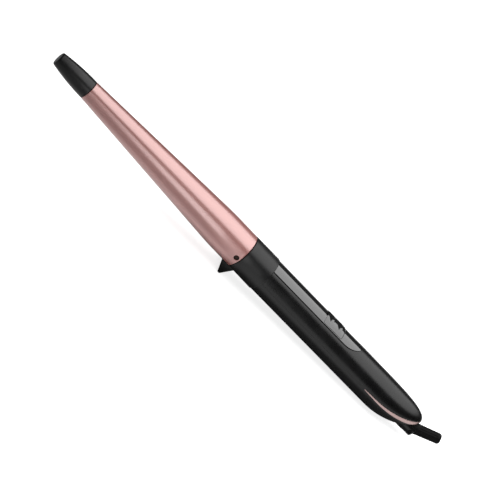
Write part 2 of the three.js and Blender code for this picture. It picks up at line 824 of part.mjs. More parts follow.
// The knob follows the round surface that it slides on, with two ridges for the thumb.
function makeKnob() {
  const [front, rear] = [knobCentre - knobLength / 2, knobCentre + knobLength / 2];
  const top = handleRadius + knobProud;
  const under = handleRadius + runningGap;
  const ridge = (middle) =>
    Array.from({ length: curveSteps + 1 }, (_, i) => {
      const share = i / curveSteps;
      const lift = (ridgeProud - knobProud) * Math.sin(share * Math.PI);
      return [middle + ridgeLength * (share - 0.5), top + lift];
    });
  const outline = [
    [front, under],
    [front, top],
    ...ridge(knobCentre - ridgeSpacing / 2),
    ...ridge(knobCentre + ridgeSpacing / 2),
    [rear, top],
    [rear, under],
  ];
  const plan = roundedShape(knobCentre, 0, knobLength, knobWidth, knobCorner);
  const cap = lifted(turnedGeometry(outline)).intersect(prismUp(plan, 0, reach));
  const bottom = sliderTop - sliderHeight / 2 + seatGap;
  const stem = block(
    [knobCentre - stemLength / 2, knobCentre + stemLength / 2],
    [-stemWidth / 2, stemWidth / 2],
    [bottom, centreHeight(knobCentre) + handleRadius + (runningGap + knobProud) / 2],
  );
  return join(cap, stem);
}

// The slider carries the knob's stem in a notch.
function makeSlider() {
  const body = block(
    [knobCentre - sliderLength / 2, knobCentre + sliderLength / 2],
    [-sliderWidth / 2, sliderWidth / 2],
    [sliderTop - sliderHeight, sliderTop],
  );
  const half = stemLength / 2 + seatGap;
  const floor = sliderTop - sliderHeight / 2;
  return cut(body, block([knobCentre - half, knobCentre + half], [-reach, reach], [floor, reach]));
}

function makeSwitchBody() {
  const middle = knobCentre - switchTravel / 2;
  const body = block(
    [middle - switchLength / 2, middle + switchLength / 2],
    [-switchWidth / 2, switchWidth / 2],
    [switchBase, switchTop],
  );
  const channelHalf = (sliderLength + switchTravel) / 2 + runningGap;
  const channel = block(
    [middle - channelHalf, middle + channelHalf],
    [-sliderWidth / 2 - runningGap, sliderWidth / 2 + runningGap],
    [switchBase + switchFloor, reach],
  );
  return cut(body, channel);
}

function makeBoard() {
  return block([boardFront, boardRear], [-boardWidth / 2, boardWidth / 2], [boardBottom, boardTop]);
}

// A diode lying across the board, its legs bent down to it.
function makeDiode() {
  const x = boardFront + diodeInset;
  const z = boardTop + seatGap + diodeRadius;
  const half = diodeLength / 2;
  const tip = half + diodeLegLength;
  const body = rod(diodeRadius, new THREE.Vector3(x, -half, z), new THREE.Vector3(x, half, z));
  const axle = rod(diodeLegRadius, new THREE.Vector3(x, -tip, z), new THREE.Vector3(x, tip, z), wireSides);
  const feet = [-1, 1].map((side) => {
    const y = side * (tip - diodeLegRadius);
    const [foot, bend] = [new THREE.Vector3(x, y, boardTop + seatGap), new THREE.Vector3(x, y, z)];
    return rod(diodeLegRadius, foot, bend, wireSides);
  });
  return join(body, axle, ...feet);
}

// Swivel

const slotFront = pivotX - bootRadius - runningGap;
const liveRingX = keeperFront - liveRingSetback;
const neutralRingX = keeperFront - neutralRingSetback;

// The drum, its keeper and its journal, bored for the cord, with a fork behind for the boot.
function makeSwivelRotor() {
  const keeperRear = keeperFront + keeperLength;
  const journalFront = keeperFront - journalLength;
  const body = turned([
    [journalFront, 0],
    [journalFront, journalRadius],
    [keeperFront, journalRadius],
    [keeperFront, keeperRadius],
    [keeperRear, keeperRadius],
    [keeperRear, drumRadius],
    [drumEnd, drumRadius],
    [drumEnd, 0],
  ]);
  const bore = bar(cordBore, journalFront - overrun, slotFront + overrun, smallSides);
  const slotHalf = bootRadius + runningGap;
  const slot = block([slotFront, reach], [-slotHalf, slotHalf], [-reach, reach]);
  const [left, right] = [new THREE.Vector3(pivotX, -reach, 0), new THREE.Vector3(pivotX, reach, 0)];
  return cut(body, bore, slot, rod(trunnionRadius + runningGap, left, right));
}

function makeSlipRing(x) {
  return ring(journalRadius + seatGap, ringOuter, x - ringLength / 2, x + ringLength / 2, roundSides / 2);
}

const leafTop = -ringOuter - runningGap - leafStrip / 2;
const leafEnd = leafTop - leafSag;
const carrierTop = leafEnd - leafStrip / 2 - seatGap;

// A leaf bowed up under its ring.
function makeContactSpring(x) {
  const bow = new THREE.QuadraticBezierCurve(
    new THREE.Vector2(-leafHalfSpan, leafEnd),
    new THREE.Vector2(0, leafTop + leafSag),
    new THREE.Vector2(leafHalfSpan, leafEnd),
  );
  const line = bow.getPoints(curveSteps).map((point) => [point.x, point.y]);
  return prismAlong(stripShape(line, leafStrip), x - leafWidth / 2, x + leafWidth / 2);
}

// The carrier lies in the lower shell and holds the leaves by their ends.
function makeContactCarrier() {
  const inner = carrierHalfWidth - carrierShelf;
  const trough = carrierTop - carrierTrough;
  const section = shapeOf([
    [-carrierHalfWidth, -handleRadius],
    [carrierHalfWidth, -handleRadius],
    [carrierHalfWidth, carrierTop],
    [inner, carrierTop],
    [inner, trough],
    [-inner, trough],
    [-inner, carrierTop],
    [-carrierHalfWidth, carrierTop],
  ]);
  const carrier = prismAlong(section, carrierFront, carrierRear);
  return carrier.intersect(handleBody(carrierWall + seatGap, handleFront));
}

// Boot, drawn along X from its pivot: a ball in the fork, a tapered sleeve with a rounded end, and a bore.
function makeBoot() {
  const curve = new THREE.EllipseCurve(0, 0, bootRadius, bootRadius, Math.PI, Math.PI / 2, true);
  const ball = curve.getPoints(curveSteps).map((point) => [point.x, Math.max(0, point.y)]);
  const edge = endRound(bootLength - bootEdge, bootEndRadius, bootEdge, 1);
  const body = turned([...ball, ...edge, [bootLength, 0]], roundSides / 2);
  const trunnionEnd = Math.sqrt(drumRadius ** 2 - trunnionRadius ** 2) - weldDistance;
  const [left, right] = [new THREE.Vector3(0, -trunnionEnd, 0), new THREE.Vector3(0, trunnionEnd, 0)];
  return cut(join(body, rod(trunnionRadius, left, right)), bar(bootBore, -reach, reach, roundSides / 2));
}

// Wires, in pairs: side -1 is live, side 1 is neutral

const columnSide = columnRadius + 2 * leadRadius;
const boardHeight = (boardTop + boardBottom) / 2;

function heaterLead(side) {
  const start = side < 0 ? fuseRear + seatGap : tabEnd + seatGap;
  const pinHeight = -side * electrodeMiddle;
  return wire([
    [start, side * leadOffset, pinHeight],
    [-socketSpigot, side * leadOffset, pinHeight / 2],
    [socketLength, side * leadOffset, 0],
    [frontScrewX - columnRadius, side * columnSide, 0],
    [frontScrewX + columnRadius, side * columnSide, 0],
    [boardFront - seatGap, side * leadOffset, boardHeight],
  ]);
}

function contactLead(side) {
  const leafX = side < 0 ? liveRingX : neutralRingX;
  const leafHeight = leafEnd + leafStrip / 2 + seatGap + leadRadius;
  const droop = (leafHeight + boardHeight) / 2;
  return wire([
    [boardRear + seatGap, side * (boardWidth / 2 - leadRadius), boardHeight],
    [rearScrewX, side * columnSide, boardHeight],
    [rearScrewX + 2 * columnRadius, side * columnSide, droop],
    [carrierFront - 2 * leadRadius, side * leafHalfSpan, leafHeight],
    [leafX, side * leafHalfSpan, leafHeight],
  ]);
}

// Scene graph

function piece(name, body, material) {
  const { vertProperties, triVerts } = body.getMesh();
  const geometry = new THREE.BufferGeometry();
  geometry.setAttribute("position", new THREE.BufferAttribute(vertProperties, 3));
  geometry.setIndex(new THREE.BufferAttribute(triVerts, 1));
  geometry.computeVertexNormals();
  const mesh = new THREE.Mesh(geometry, material);
  mesh.name = name;
  return mesh;
}

const handleForm = makeHandleForm();

const head = new THREE.Group();
head.add(
  piece("barrel", makeBarrel(), rosePlate),
  piece("cool_tip", makeCoolTip(), satinBlack),
  piece("tip_holder", makeTipHolder(), heatPlastic),
  piece("tip_screw", makeTipScrew(), steel),
  piece("clamp_plate_upper", makeClampPlate(1), castAluminium),
  piece("clamp_plate_lower", makeClampPlate(-1), castAluminium),
  piece("ceramic_heater", makeCeramic(), ceramic),
  piece("electrode_live", makeElectrode(1), castAluminium),
  piece("electrode_neutral", makeElectrode(-1), castAluminium),
  piece("insulating_sleeve", makeSleeve(), film),
  piece("spreader_spring_left", makeSpreader(1), steel),
  piece("spreader_spring_right", makeSpreader(-1), steel),
  piece("thermal_fuse", makeThermalFuse(), steel),
  piece("barrel_socket", makeBarrelSocket(), heatPlastic),
  piece("barrel_screw", makeBarrelScrew(), steel),
);

const handle = new THREE.Group();
handle.add(
  piece("collar", makeCollar(), satinBlack),
  piece("upper_shell", makeUpperShell(handleForm), satinBlack),
  piece("lower_shell", makeLowerShell(handleForm), satinBlack),
  piece("control_panel", makePanel(), glossBlack),
  piece("trim_band", makeTrim(), roseTrim),
  piece("shell_screw_front", makeShellScrew(frontScrewX), steel),
  piece("shell_screw_rear", makeShellScrew(rearScrewX), steel),
  piece("switch_body", makeSwitchBody(), heatPlastic),
  piece("circuit_board", makeBoard(), boardGreen),
  piece("power_diode", makeDiode(), softBlack),
  piece("contact_carrier", makeContactCarrier(), heatPlastic),
  piece("contact_spring_live", makeContactSpring(liveRingX), brass),
  piece("contact_spring_neutral", makeContactSpring(neutralRingX), brass),
  piece("heater_lead_live", heaterLead(-1), liveWire),
  piece("heater_lead_neutral", heaterLead(1), neutralWire),
  piece("contact_lead_live", contactLead(-1), liveWire),
  piece("contact_lead_neutral", contactLead(1), neutralWire),
);

const slide = new THREE.Group();
slide.add(piece("switch_knob", makeKnob(), glossBlack), piece("switch_slider", makeSlider(), satinBlack));

const swivel = new THREE.Group();
swivel.add(
  piece("swivel_rotor", makeSwivelRotor(), satinBlack),
  piece("slip_ring_live", makeSlipRing(liveRingX), brass),
  piece("slip_ring_neutral", makeSlipRing(neutralRingX), brass),
);

const bootGroup = new THREE.Group();
bootGroup.position.set(pivotX, 0, 0);
bootGroup.rotation.y = -radians(bootTilt);
bootGroup.add(piece("cord_boot", makeBoot(), softBlack));
swivel.add(bootGroup);

const wand = new THREE.Group();
wand.add(head, handle, slide, swivel);
wand.rotation.y = Math.atan(restSlope);
wand.position.copy(new THREE.Vector3(0, 0, footDrop).applyEuler(wand.rotation));

const curlingWand = new THREE.Group();
curlingWand.add(wand);

export default curlingWand;
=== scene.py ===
# Curling wand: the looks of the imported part.
# Pieces are drawn in millimetres along the wand, then laid in the frame.
import json
import math

import bmesh
import bpy
from mathutils import Matrix, Vector


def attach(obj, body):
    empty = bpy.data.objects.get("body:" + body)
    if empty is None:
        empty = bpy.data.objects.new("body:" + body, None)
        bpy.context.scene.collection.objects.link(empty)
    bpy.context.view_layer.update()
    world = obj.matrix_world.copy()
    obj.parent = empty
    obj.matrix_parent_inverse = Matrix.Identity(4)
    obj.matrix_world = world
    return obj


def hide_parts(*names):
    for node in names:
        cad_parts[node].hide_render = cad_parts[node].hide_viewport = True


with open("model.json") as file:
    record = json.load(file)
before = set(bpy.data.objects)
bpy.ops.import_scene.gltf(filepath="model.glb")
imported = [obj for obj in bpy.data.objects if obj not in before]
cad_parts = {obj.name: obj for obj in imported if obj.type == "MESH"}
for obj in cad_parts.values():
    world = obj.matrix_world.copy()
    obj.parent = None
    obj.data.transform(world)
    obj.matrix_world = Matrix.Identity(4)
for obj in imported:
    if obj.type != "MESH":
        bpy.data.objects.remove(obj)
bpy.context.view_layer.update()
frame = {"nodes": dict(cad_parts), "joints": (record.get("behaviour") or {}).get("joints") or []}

scene = bpy.context.scene

# The handle's round form, which the shells, panel, trim and knob all follow
form = {
    "collarLength": 20.3,
    "front": 20.4,  # where shells and panel start
    "radius": 12.4,
    "tailStart": 128.0,
    "tailLength": 35.6,
    "riseAtTail": 1.13,  # of the centre line where the rounded end starts
    "riseAtEnd": 7.5,
    "partingAngle": math.acos(0.93 / 12.4),  # of the line where the shells meet, down from the top
    "partingGap": 0.08,
    "drumBore": 5.75,  # radius of the hole that the swivel turns in
    "pivotX": 163.4,
    "bootTilt": 26.5,
    "sweepAtPivot": 4.66,  # room that the boot sweeps as the swivel turns
}

# The swivel turns about the wand's own axis, so its joint tells where the wand lies
swivelJoint = next(j for j in frame["joints"] if j["name"] == "cord_swivel")
along = Vector(swivelJoint["axis"]).normalized()
across = Vector((0, 1, 0))
upward = along.cross(across)
wandStart = Vector(swivelJoint["pos_m"]) - along * form["pivotX"] / 1000
layWand = Matrix((along, across, upward)).transposed().to_4x4()
layWand.translation = wandStart
layWand = layWand @ Matrix.Scale(0.001, 4)
wandTilt = math.atan2(-along.z, along.x)


# Mesh helpers

def clamp(value, low=0.0, high=1.0):
    return max(low, min(high, value))


def radiusAt(x):
    share = clamp((x - form["tailStart"]) / form["tailLength"])
    return form["radius"] * math.sqrt(max(0.0, 1 - share * share))


def centreAt(x):
    straight = clamp((x - form["collarLength"]) / (form["tailStart"] - form["collarLength"]))
    share = clamp((x - form["tailStart"]) / form["tailLength"])
    return form["riseAtTail"] * straight + (form["riseAtEnd"] - form["riseAtTail"]) * share ** 2


def placeAt(radius):
    # where along the rounded end the handle has this radius
    return form["tailStart"] + form["tailLength"] * math.sqrt(max(0.0, 1 - (radius / form["radius"]) ** 2))


def sweepAt(x):
    # radius that must stay free round the wand's axis at the cord end
    cone = form["sweepAtPivot"] + math.tan(math.radians(form["bootTilt"])) * (x - form["pivotX"])
    return max(form["drumBore"], cone)


def onHandle(x, angle):
    # a point on the handle, its angle counted down from the top towards +Y
    r = radiusAt(x)
    return (x, r * math.sin(angle), centreAt(x) + r * math.cos(angle))


def spread(start, end, count):
    return [start + (end - start) * i / count for i in range(count + 1)]


def easedOut(start, end, count):
    # steps that grow finer towards the end, for a round that closes there
    return [start + (end - start) * math.sin(math.pi / 2 * i / count) for i in range(count + 1)]


def addSheet(bm, rows):
    grid = [[bm.verts.new(point) for point in row] for row in rows]
    for near, far in zip(grid, grid[1:]):
        for i in range(len(near) - 1):
            bm.faces.new((near[i], near[i + 1], far[i + 1], far[i]))


def addBlock(bm, first, second):
    # a solid between two like outlines
    ends = [[bm.verts.new(point) for point in outline] for outline in (first, second)]
    for end in ends:
        bm.faces.new(end)
    near, far = ends
    for i in range(len(near)):
        j = (i + 1) % len(near)
        bm.faces.new((near[i], near[j], far[j], far[i]))
    bmesh.ops.recalc_face_normals(bm, faces=bm.faces)


def addBox(bm, middle, size, turn=Matrix.Identity(4)):
    place = Matrix.Translation(middle) @ turn @ Matrix.Diagonal((*size, 1))
    bmesh.ops.create_cube(bm, size=1.0, matrix=place)


def addTurned(bm, outline, sides):
    # an outline of (place along the wand, radius), turned about the wand's axis
    rows = []
    for i in range(sides + 1):
        turn = 2 * math.pi * i / sides
        rows.append([(x, r * math.sin(turn), r * math.cos(turn)) for x, r in outline + outline[:1]])
    addSheet(bm, rows)


def tidy(bm, gap=1e-4):
    bmesh.ops.remove_doubles(bm, verts=bm.verts, dist=gap)
    bmesh.ops.dissolve_degenerate(bm, edges=bm.edges, dist=gap)
    bmesh.ops.recalc_face_normals(bm, faces=bm.faces)


def faceOut(bm):
    # turns each face of a sheet to look away from the handle's centre line
    bm.normal_update()
    for face in bm.faces:
        middle = face.calc_center_median()
        if face.normal.dot(middle - Vector((middle.x, 0, centreAt(middle.x)))) < 0:
            face.normal_flip()


def rounded(x, r, size, way, steps=4):
    # quarter round of an outline from a side of radius r in to an end that faces along X
    points = []
    for i in range(steps + 1):
        turn = math.pi / 2 * i / steps
        points.append((x + way * size * (math.sin(turn) - 1), r - size * (1 - math.cos(turn))))
    return points


def newPiece(name, bm, place=layWand):
    mesh = bpy.data.meshes.new(name)
    bm.to_mesh(mesh)
    bm.free()
    mesh.transform(place)
    mesh.shade_smooth()
    piece = bpy.data.objects.new(name, mesh)
    scene.collection.objects.link(piece)
    return piece


def settle(piece):
    # bakes the modifiers into the mesh
    bpy.context.view_layer.update()
    graph = bpy.context.evaluated_depsgraph_get()
    mesh = bpy.data.meshes.new_from_object(piece.evaluated_get(graph))
    piece.modifiers.clear()
    old = piece.data
    piece.data = mesh
    bpy.data.meshes.remove(old)


def join(piece, other, how="UNION"):
    boolean = piece.modifiers.new("shape", "BOOLEAN")
    boolean.operation = how
    boolean.solver = "EXACT"
    boolean.object = other
    settle(piece)
    bpy.data.objects.remove(other)


def combine(piece, bm, how="DIFFERENCE", place=layWand):
    join(piece, newPiece("tool", bm, place), how)


def thicken(piece, depth, proud=0.0):
    solid = piece.modifiers.new("wall", "SOLIDIFY")
    solid.thickness = (depth + proud) / 1000
    solid.offset = 2 * proud / (depth + proud) - 1
    solid.use_even_offset = True
    settle(piece)


def addBevel(piece, width, segments, angle):
    bevel = piece.modifiers.new("edges", "BEVEL")
    bevel.width = width / 1000
    bevel.segments = segments
    bevel.limit_method = "ANGLE"
    bevel.angle_limit = math.radians(angle)


def roundEdges(piece, width, segments=3, angle=50):
    addBevel(piece, width, segments, angle)
    weighted = piece.modifiers.new("shading", "WEIGHTED_NORMAL")
    weighted.keep_sharp = True
    settle(piece)
    piece.data.shade_smooth()


def sharpen(piece, angle=40):
    piece.data.shade_smooth()
    piece.data.set_sharp_from_angle(angle=math.radians(angle))


def dress(piece, material, body, slot, *nodes):
    piece.data.materials.clear()
    piece.data.materials.append(material)
    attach(piece, body)
    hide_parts(*nodes)


# Material helpers

def startMaterial(name, look):
    # a material whose plain values sit on the shader's own sockets
    material = bpy.data.materials.new(name)
    material.use_nodes = True
    tree = material.node_tree
    shader = tree.nodes["Principled BSDF"]
    shader.inputs["Base Color"].default_value = (*look["colour"], 1)
    shader.inputs["Roughness"].default_value = look["roughness"]
    shader.inputs["Metallic"].default_value = look.get("metallic", 0.0)
    shader.inputs["IOR"].default_value = look.get("ior", 1.5)
    shader.inputs["Coat Weight"].default_value = look.get("coat", 0.0)
    shader.inputs["Coat Roughness"].default_value = look.get("coatRoughness", 0.05)
    shader.inputs["Coat IOR"].default_value = look.get("coatIor", 1.5)
    material.diffuse_color = (*look["colour"], 1)
    return material, tree, shader


def wandSpace(tree, stretch=(1, 1, 1)):
    # coordinates in millimetres that lie along the wand
    source = tree.nodes.new("ShaderNodeTexCoord")
    turn = tree.nodes.new("ShaderNodeMapping")
    turn.inputs["Rotation"].default_value = (0, -wandTilt, 0)
    size = tree.nodes.new("ShaderNodeMapping")
    size.inputs["Scale"].default_value = [1000 * s for s in stretch]
    tree.links.new(source.outputs["Object"], turn.inputs["Vector"])
    tree.links.new(turn.outputs["Vector"], size.inputs["Vector"])
    return size.outputs["Vector"]


def addNoise(tree, space, scale, detail, roughness=0.55):
    noise = tree.nodes.new("ShaderNodeTexNoise")
    noise.inputs["Scale"].default_value = scale
    noise.inputs["Detail"].default_value = detail
    noise.inputs["Roughness"].default_value = roughness
    tree.links.new(space, noise.inputs["Vector"])
    return noise.outputs["Fac"]


def addRange(tree, value, low, high, fromLow=0.3, fromHigh=0.7):
    spreadOut = tree.nodes.new("ShaderNodeMapRange")
    spreadOut.inputs["From Min"].default_value = fromLow
    spreadOut.inputs["From Max"].default_value = fromHigh
    spreadOut.inputs["To Min"].default_value = low
    spreadOut.inputs["To Max"].default_value = high
    tree.links.new(value, spreadOut.inputs["Value"])
    return spreadOut.outputs["Result"]


def addBlend(tree, factor, first, second):
    blend = tree.nodes.new("ShaderNodeMix")
    blend.data_type = "RGBA"
    tree.links.new(factor, blend.inputs["Factor"])
    for socket, colour in ((blend.inputs["A"], first), (blend.inputs["B"], second)):
        if isinstance(colour, bpy.types.NodeSocket):
            tree.links.new(colour, socket)
        else:
            socket.default_value = (*colour, 1)
    return blend.outputs["Result"]


def addMath(tree, how, first, second):
    result = tree.nodes.new("ShaderNodeMath")
    result.operation = how
    result.use_clamp = True
    tree.links.new(first, result.inputs[0])
    tree.links.new(second, result.inputs[1])
    return result.outputs[0]


def addBump(tree, shader, height, strength, distance):
    bump = tree.nodes.new("ShaderNodeBump")
    bump.inputs["Strength"].default_value = strength
    bump.inputs["Distance"].default_value = distance / 1000
    tree.links.new(height, bump.inputs["Height"])
    tree.links.new(bump.outputs["Normal"], shader.inputs["Normal"])


def shaded(colour, share):
    return tuple(c * share for c in colour)


def addTint(tree, pattern, colour, shares):
    # the colour between a darker and a lighter share of itself
    dark, light = (shaded(colour, share) for share in shares)
    return addBlend(tree, addRange(tree, pattern, 0, 1), dark, light)


def varyRoughness(tree, shader, pattern, roughness, change):
    low, high = (roughness + step for step in change)
    tree.links.new(addRange(tree, pattern, low, high), shader.inputs["Roughness"])


# What all moulded plastics share; a pattern's first number is its scale, the second its detail
moulded = {
    "cloud": (0.09, 4.0),
    "tint": (0.8, 1.25),
    "roughnessChange": (-0.03, 0.04),
    "grainDetail": 2.0,
    "grainHeight": 0.03,  # mm
}


def mouldedPlastic(name, look):
    # plastic with the fine grain of an eroded mould
    material, tree, shader = startMaterial(name, look)
    space = wandSpace(tree)
    grain = addNoise(tree, space, look["grainScale"], moulded["grainDetail"])
    cloud = addNoise(tree, space, *moulded["cloud"])
    tree.links.new(addTint(tree, cloud, look["colour"], moulded["tint"]), shader.inputs["Base Color"])
    varyRoughness(tree, shader, cloud, look["roughness"], moulded["roughnessChange"])
    addBump(tree, shader, grain, look["grainStrength"], moulded["grainHeight"])
    return material


# Camera and light

view = {
    "distance": 1300,  # mm from the barrel's rear end
    "lens": 152,
    "turn": 17.8,  # degrees towards the barrel tip
    "rise": 32.0,
    "roll": 46.279,  # how far the wand runs down to the right in the picture
    "startPixel": (242.7, 250.7),
    "frame": 500,  # pixels
    "sensor": 36,  # mm
    "clipStart": 0.05,
}


def makeCamera():
    turn, rise, roll = (math.radians(view[key]) for key in ("turn", "rise", "roll"))
    lay = layWand.to_3x3() * 1000
    aside, ahead = math.sin(turn), math.cos(turn)
    toCamera = lay @ Vector((-aside, -ahead * math.cos(rise), ahead * math.sin(rise)))
    lengthwise = lay @ Vector((ahead, -aside * math.cos(rise), aside * math.sin(rise)))
    sideways = toCamera.cross(lengthwise)
    right = math.cos(roll) * lengthwise + math.sin(roll) * sideways
    top = -math.sin(roll) * lengthwise + math.cos(roll) * sideways
    place = wandStart + toCamera * view["distance"] / 1000
    pixels = view["frame"] * view["lens"] / view["sensor"]
    acrossFrame, downFrame = ((p - view["frame"] / 2) / pixels for p in view["startPixel"])
    back = (toCamera + right * acrossFrame - top * downFrame).normalized()
    right = (right - back * right.dot(back)).normalized()
    top = back.cross(right)
    data = bpy.data.cameras.new("camera")
    data.lens = view["lens"]
    data.clip_start = view["clipStart"]
    camera = bpy.data.objects.new("camera", data)
    camera.matrix_world = Matrix((right, top, back)).transposed().to_4x4()
    camera.matrix_world.translation = place
    scene.collection.objects.link(camera)
    scene.camera = camera


def addLamp(name, place, size, brightness, turn=(0, 0, 0)):
    # a soft rectangle; brightness is what a mirror would show of it
    data = bpy.data.lights.new(name, "AREA")
    data.shape = "RECTANGLE"
    data.size, data.size_y = size
    data.energy = brightness * math.pi * size[0] * size[1]
    lamp = bpy.data.objects.new(name, data)
    lamp.location = place
    lamp.rotation_euler = [math.radians(a) for a in turn]
    lamp.visible_camera = False
    scene.collection.objects.link(lamp)


studio = {
    "top": {"place": (0.225, 0.095, 0.45), "size": (0.75, 0.75), "brightness": 2.0},
    "side": {"place": (0.078, -0.6, 0.22), "size": (0.155, 0.38), "brightness": 3.0, "turn": (90, 0, 0)},
    "sky": 0.1,
    "horizon": 0.015,
    "skyTop": 0.9,  # how far up the sky reaches its full brightness
    "floorHalf": 4.0,  # m
    "floorDrop": 0.0002,
    "floorColour": (0.8, 0.8, 0.8),
    "floorRoughness": 0.9,
    "floorGlow": 0.8,  # lets the floor read as white to the camera
    # painted shade: in what mirrors it the floor has this darker colour, not its own
    "mirroredShadeColour": (0.2, 0.2, 0.2),
    "mirroredGlow": 0.62,  # does so in what mirrors it
    "shade": (0.015, 0.025),  # m from the object over which the mirrored glow comes in; nearer, it stays off as a painted shadow under the handle
    "barrelShade": (0.034, 0.022),  # m from the barrel over which the mirrored glow weakens instead, a painted dark band in the barrel's reflection
    "barrelShadeNear": (0.012, 0.017),  # m from the barrel over which it comes in; nearer, it stays off as painted shade
    "barrelFar": 0.35,  # what is left of it in the painted dark band
    "handleFloor": (-0.005, 0.01),  # m along X from the barrel's painted shade to the handle's
}


def makeStudio():
    for name in ("top", "side"):
        lamp = studio[name]
        addLamp(name + "Lamp", lamp["place"], lamp["size"], lamp["brightness"], lamp.get("turn", (0, 0, 0)))

    world = bpy.data.worlds.new("studio")
    scene.world = world
    world.use_nodes = True
    tree = world.node_tree
    background = tree.nodes["Background"]
    background.inputs["Strength"].default_value = 1.0
    source = tree.nodes.new("ShaderNodeTexCoord")
    split = tree.nodes.new("ShaderNodeSeparateXYZ")
    tree.links.new(source.outputs["Generated"], split.inputs["Vector"])
    height = addRange(tree, split.outputs["Z"], 0, 1, 0.0, studio["skyTop"])
    sky = addBlend(tree, height, (studio["horizon"],) * 3, (studio["sky"],) * 3)
    tree.links.new(sky, background.inputs["Color"])

    bm = bmesh.new()
    bmesh.ops.create_grid(bm, x_segments=8, y_segments=8, size=studio["floorHalf"])
    floor = newPiece("floor", bm, Matrix.Translation((0, 0, -studio["floorDrop"])))
    material = bpy.data.materials.new("paleFloor")
    material.use_nodes = True
    tree = material.node_tree
    shader = tree.nodes["Principled BSDF"]
    shader.inputs["Roughness"].default_value = studio["floorRoughness"]
    shader.inputs["Specular IOR Level"].default_value = 0.0
    glow = tree.nodes.new("ShaderNodeEmission")
    path = tree.nodes.new("ShaderNodeLightPath")
    mirrored = addMath(tree, "ADD", path.outputs["Is Glossy Ray"], path.outputs["Is Transmission Ray"])
    # the floor is darker in what mirrors it: painted shade
    shade = addBlend(tree, mirrored, studio["floorColour"], studio["mirroredShadeColour"])
    tree.links.new(shade, shader.inputs["Base Color"])
    # close to the handle the mirrored glow fades out: a painted contact shadow in its reflection
    far = addRange(tree, path.outputs["Ray Length"], 0, 1, *studio["shade"])
    ground = tree.nodes.new("ShaderNodeTexCoord")
    split = tree.nodes.new("ShaderNodeSeparateXYZ")
    tree.links.new(ground.outputs["Object"], split.inputs["Vector"])
    handleSide = addRange(tree, split.outputs["X"], 0, 1, *studio["handleFloor"])
    # by the barrel the mirrored glow is off close by and weaker in a band further out: painted shade drawing
    # dark bands on the barrel
    near = addRange(tree, path.outputs["Ray Length"], 0, 1, *studio["barrelShadeNear"])
    barrelShadeBand = addRange(tree, path.outputs["Ray Length"], studio["barrelFar"], 1, *studio["barrelShade"])
    shadedGlowShare = addBlend(tree, handleSide, addMath(tree, "MULTIPLY", barrelShadeBand, near), far)
    seen = addRange(tree, path.outputs["Is Camera Ray"], 0, studio["floorGlow"], 0, 1)
    shown = addRange(tree, addMath(tree, "MULTIPLY", mirrored, shadedGlowShare), 0, studio["mirroredGlow"], 0, 1)
    total = addMath(tree, "ADD", seen, shown)
    tree.links.new(total, glow.inputs["Strength"])
    both = tree.nodes.new("ShaderNodeAddShader")
    tree.links.new(shader.outputs[0], both.inputs[0])
    tree.links.new(glow.outputs[0], both.inputs[1])
    tree.links.new(both.outputs[0], tree.nodes["Material Output"].inputs["Surface"])
    floor.data.materials.append(material)


makeCamera()
makeStudio()
print("studio: camera, two lamps, floor")


# Barrel

barrel = {
    "length": 139.3,
    "radius": 12.5,
    "tipRadius": 6.7,
    "straight": 20.4,
    "blend": 5.0,  # half the length over which the taper starts
    "wall": 0.8,
    "rear": -0.3,
    "edge": 0.45,
    "screwX": -3.0,
    "screwAngle": 4.0,  # degrees above the axis, on the -Y side
    "holeRadius": 1.85,
    "holeReach": (8, 16),  # from the wand's axis
    "holeSides": 48,
    "sides": 160,
    "rows": [-130, -115, -100, -85, -70, -55, -40, -30, -25.4, -23.9, -22.1, -20.4, -18.7, -16.9, -15.4,
             -12, -9, -7, -5.5, -4.4, -3, -1.6, -0.9],
    "frontEdge": 0.2,
}
roseLook = {
    "colour": (0.56, 0.208, 0.182),
    "metallic": 0.35,
    "roughness": 0.36,
    "ior": 1.6,
    "coat": 1.0,
    "coatRoughness": 0.28,
    "coatIor": 2.4,
    "fleck": (5.0, 2.0),
    "fleckTint": (0.94, 1.06),
    "fleckBump": (0.05, 0.005),  # strength and height in mm
    "brush": (2.2, 4.0, 0.6),
    "brushStretch": (0.03, 1, 1),
    "cloud": (0.05, 3.0),
    "cloudShare": 0.12,  # how much of the darker colour shows at most
    "cloudTint": 0.8,
    "roughnessChange": (-0.03, 0.03),
}


def barrelRadius(x):
    slope = (barrel["radius"] - barrel["tipRadius"]) / (barrel["length"] - barrel["straight"])
    reach = -x - barrel["straight"]
    soft = barrel["blend"]
    if reach <= -soft:
        return barrel["radius"]
    if reach < soft:
        return barrel["radius"] - slope * (reach + soft) ** 2 / (4 * soft)
    return barrel["radius"] - slope * reach


def screwPlace(radius):
    turn = math.radians(barrel["screwAngle"])
    return Vector((barrel["screwX"], -radius * math.cos(turn), radius * math.sin(turn)))


def addPin(bm, start, end, radius, sides=32):
    line = end - start
    turn = Vector((0, 0, 1)).rotation_difference(line).to_matrix().to_4x4()
    place = Matrix.Translation((start + end) / 2) @ turn
    bmesh.ops.create_cone(bm, cap_ends=True, segments=sides, radius1=radius, radius2=radius,
                          depth=line.length, matrix=place)


def makeRoseCoat():
    material, tree, shader = startMaterial("satinRoseCoat", roseLook)
    space = wandSpace(tree)
    fleck = addNoise(tree, space, *roseLook["fleck"])
    brushed = addNoise(tree, wandSpace(tree, roseLook["brushStretch"]), *roseLook["brush"])
    cloud = addNoise(tree, space, *roseLook["cloud"])
    warm = addTint(tree, fleck, roseLook["colour"], roseLook["fleckTint"])
    darker = shaded(roseLook["colour"], roseLook["cloudTint"])
    deep = addBlend(tree, addRange(tree, cloud, 0, roseLook["cloudShare"]), warm, darker)
    tree.links.new(deep, shader.inputs["Base Color"])
    varyRoughness(tree, shader, brushed, roseLook["roughness"], roseLook["roughnessChange"])
    addBump(tree, shader, fleck, *roseLook["fleckBump"])
    return material


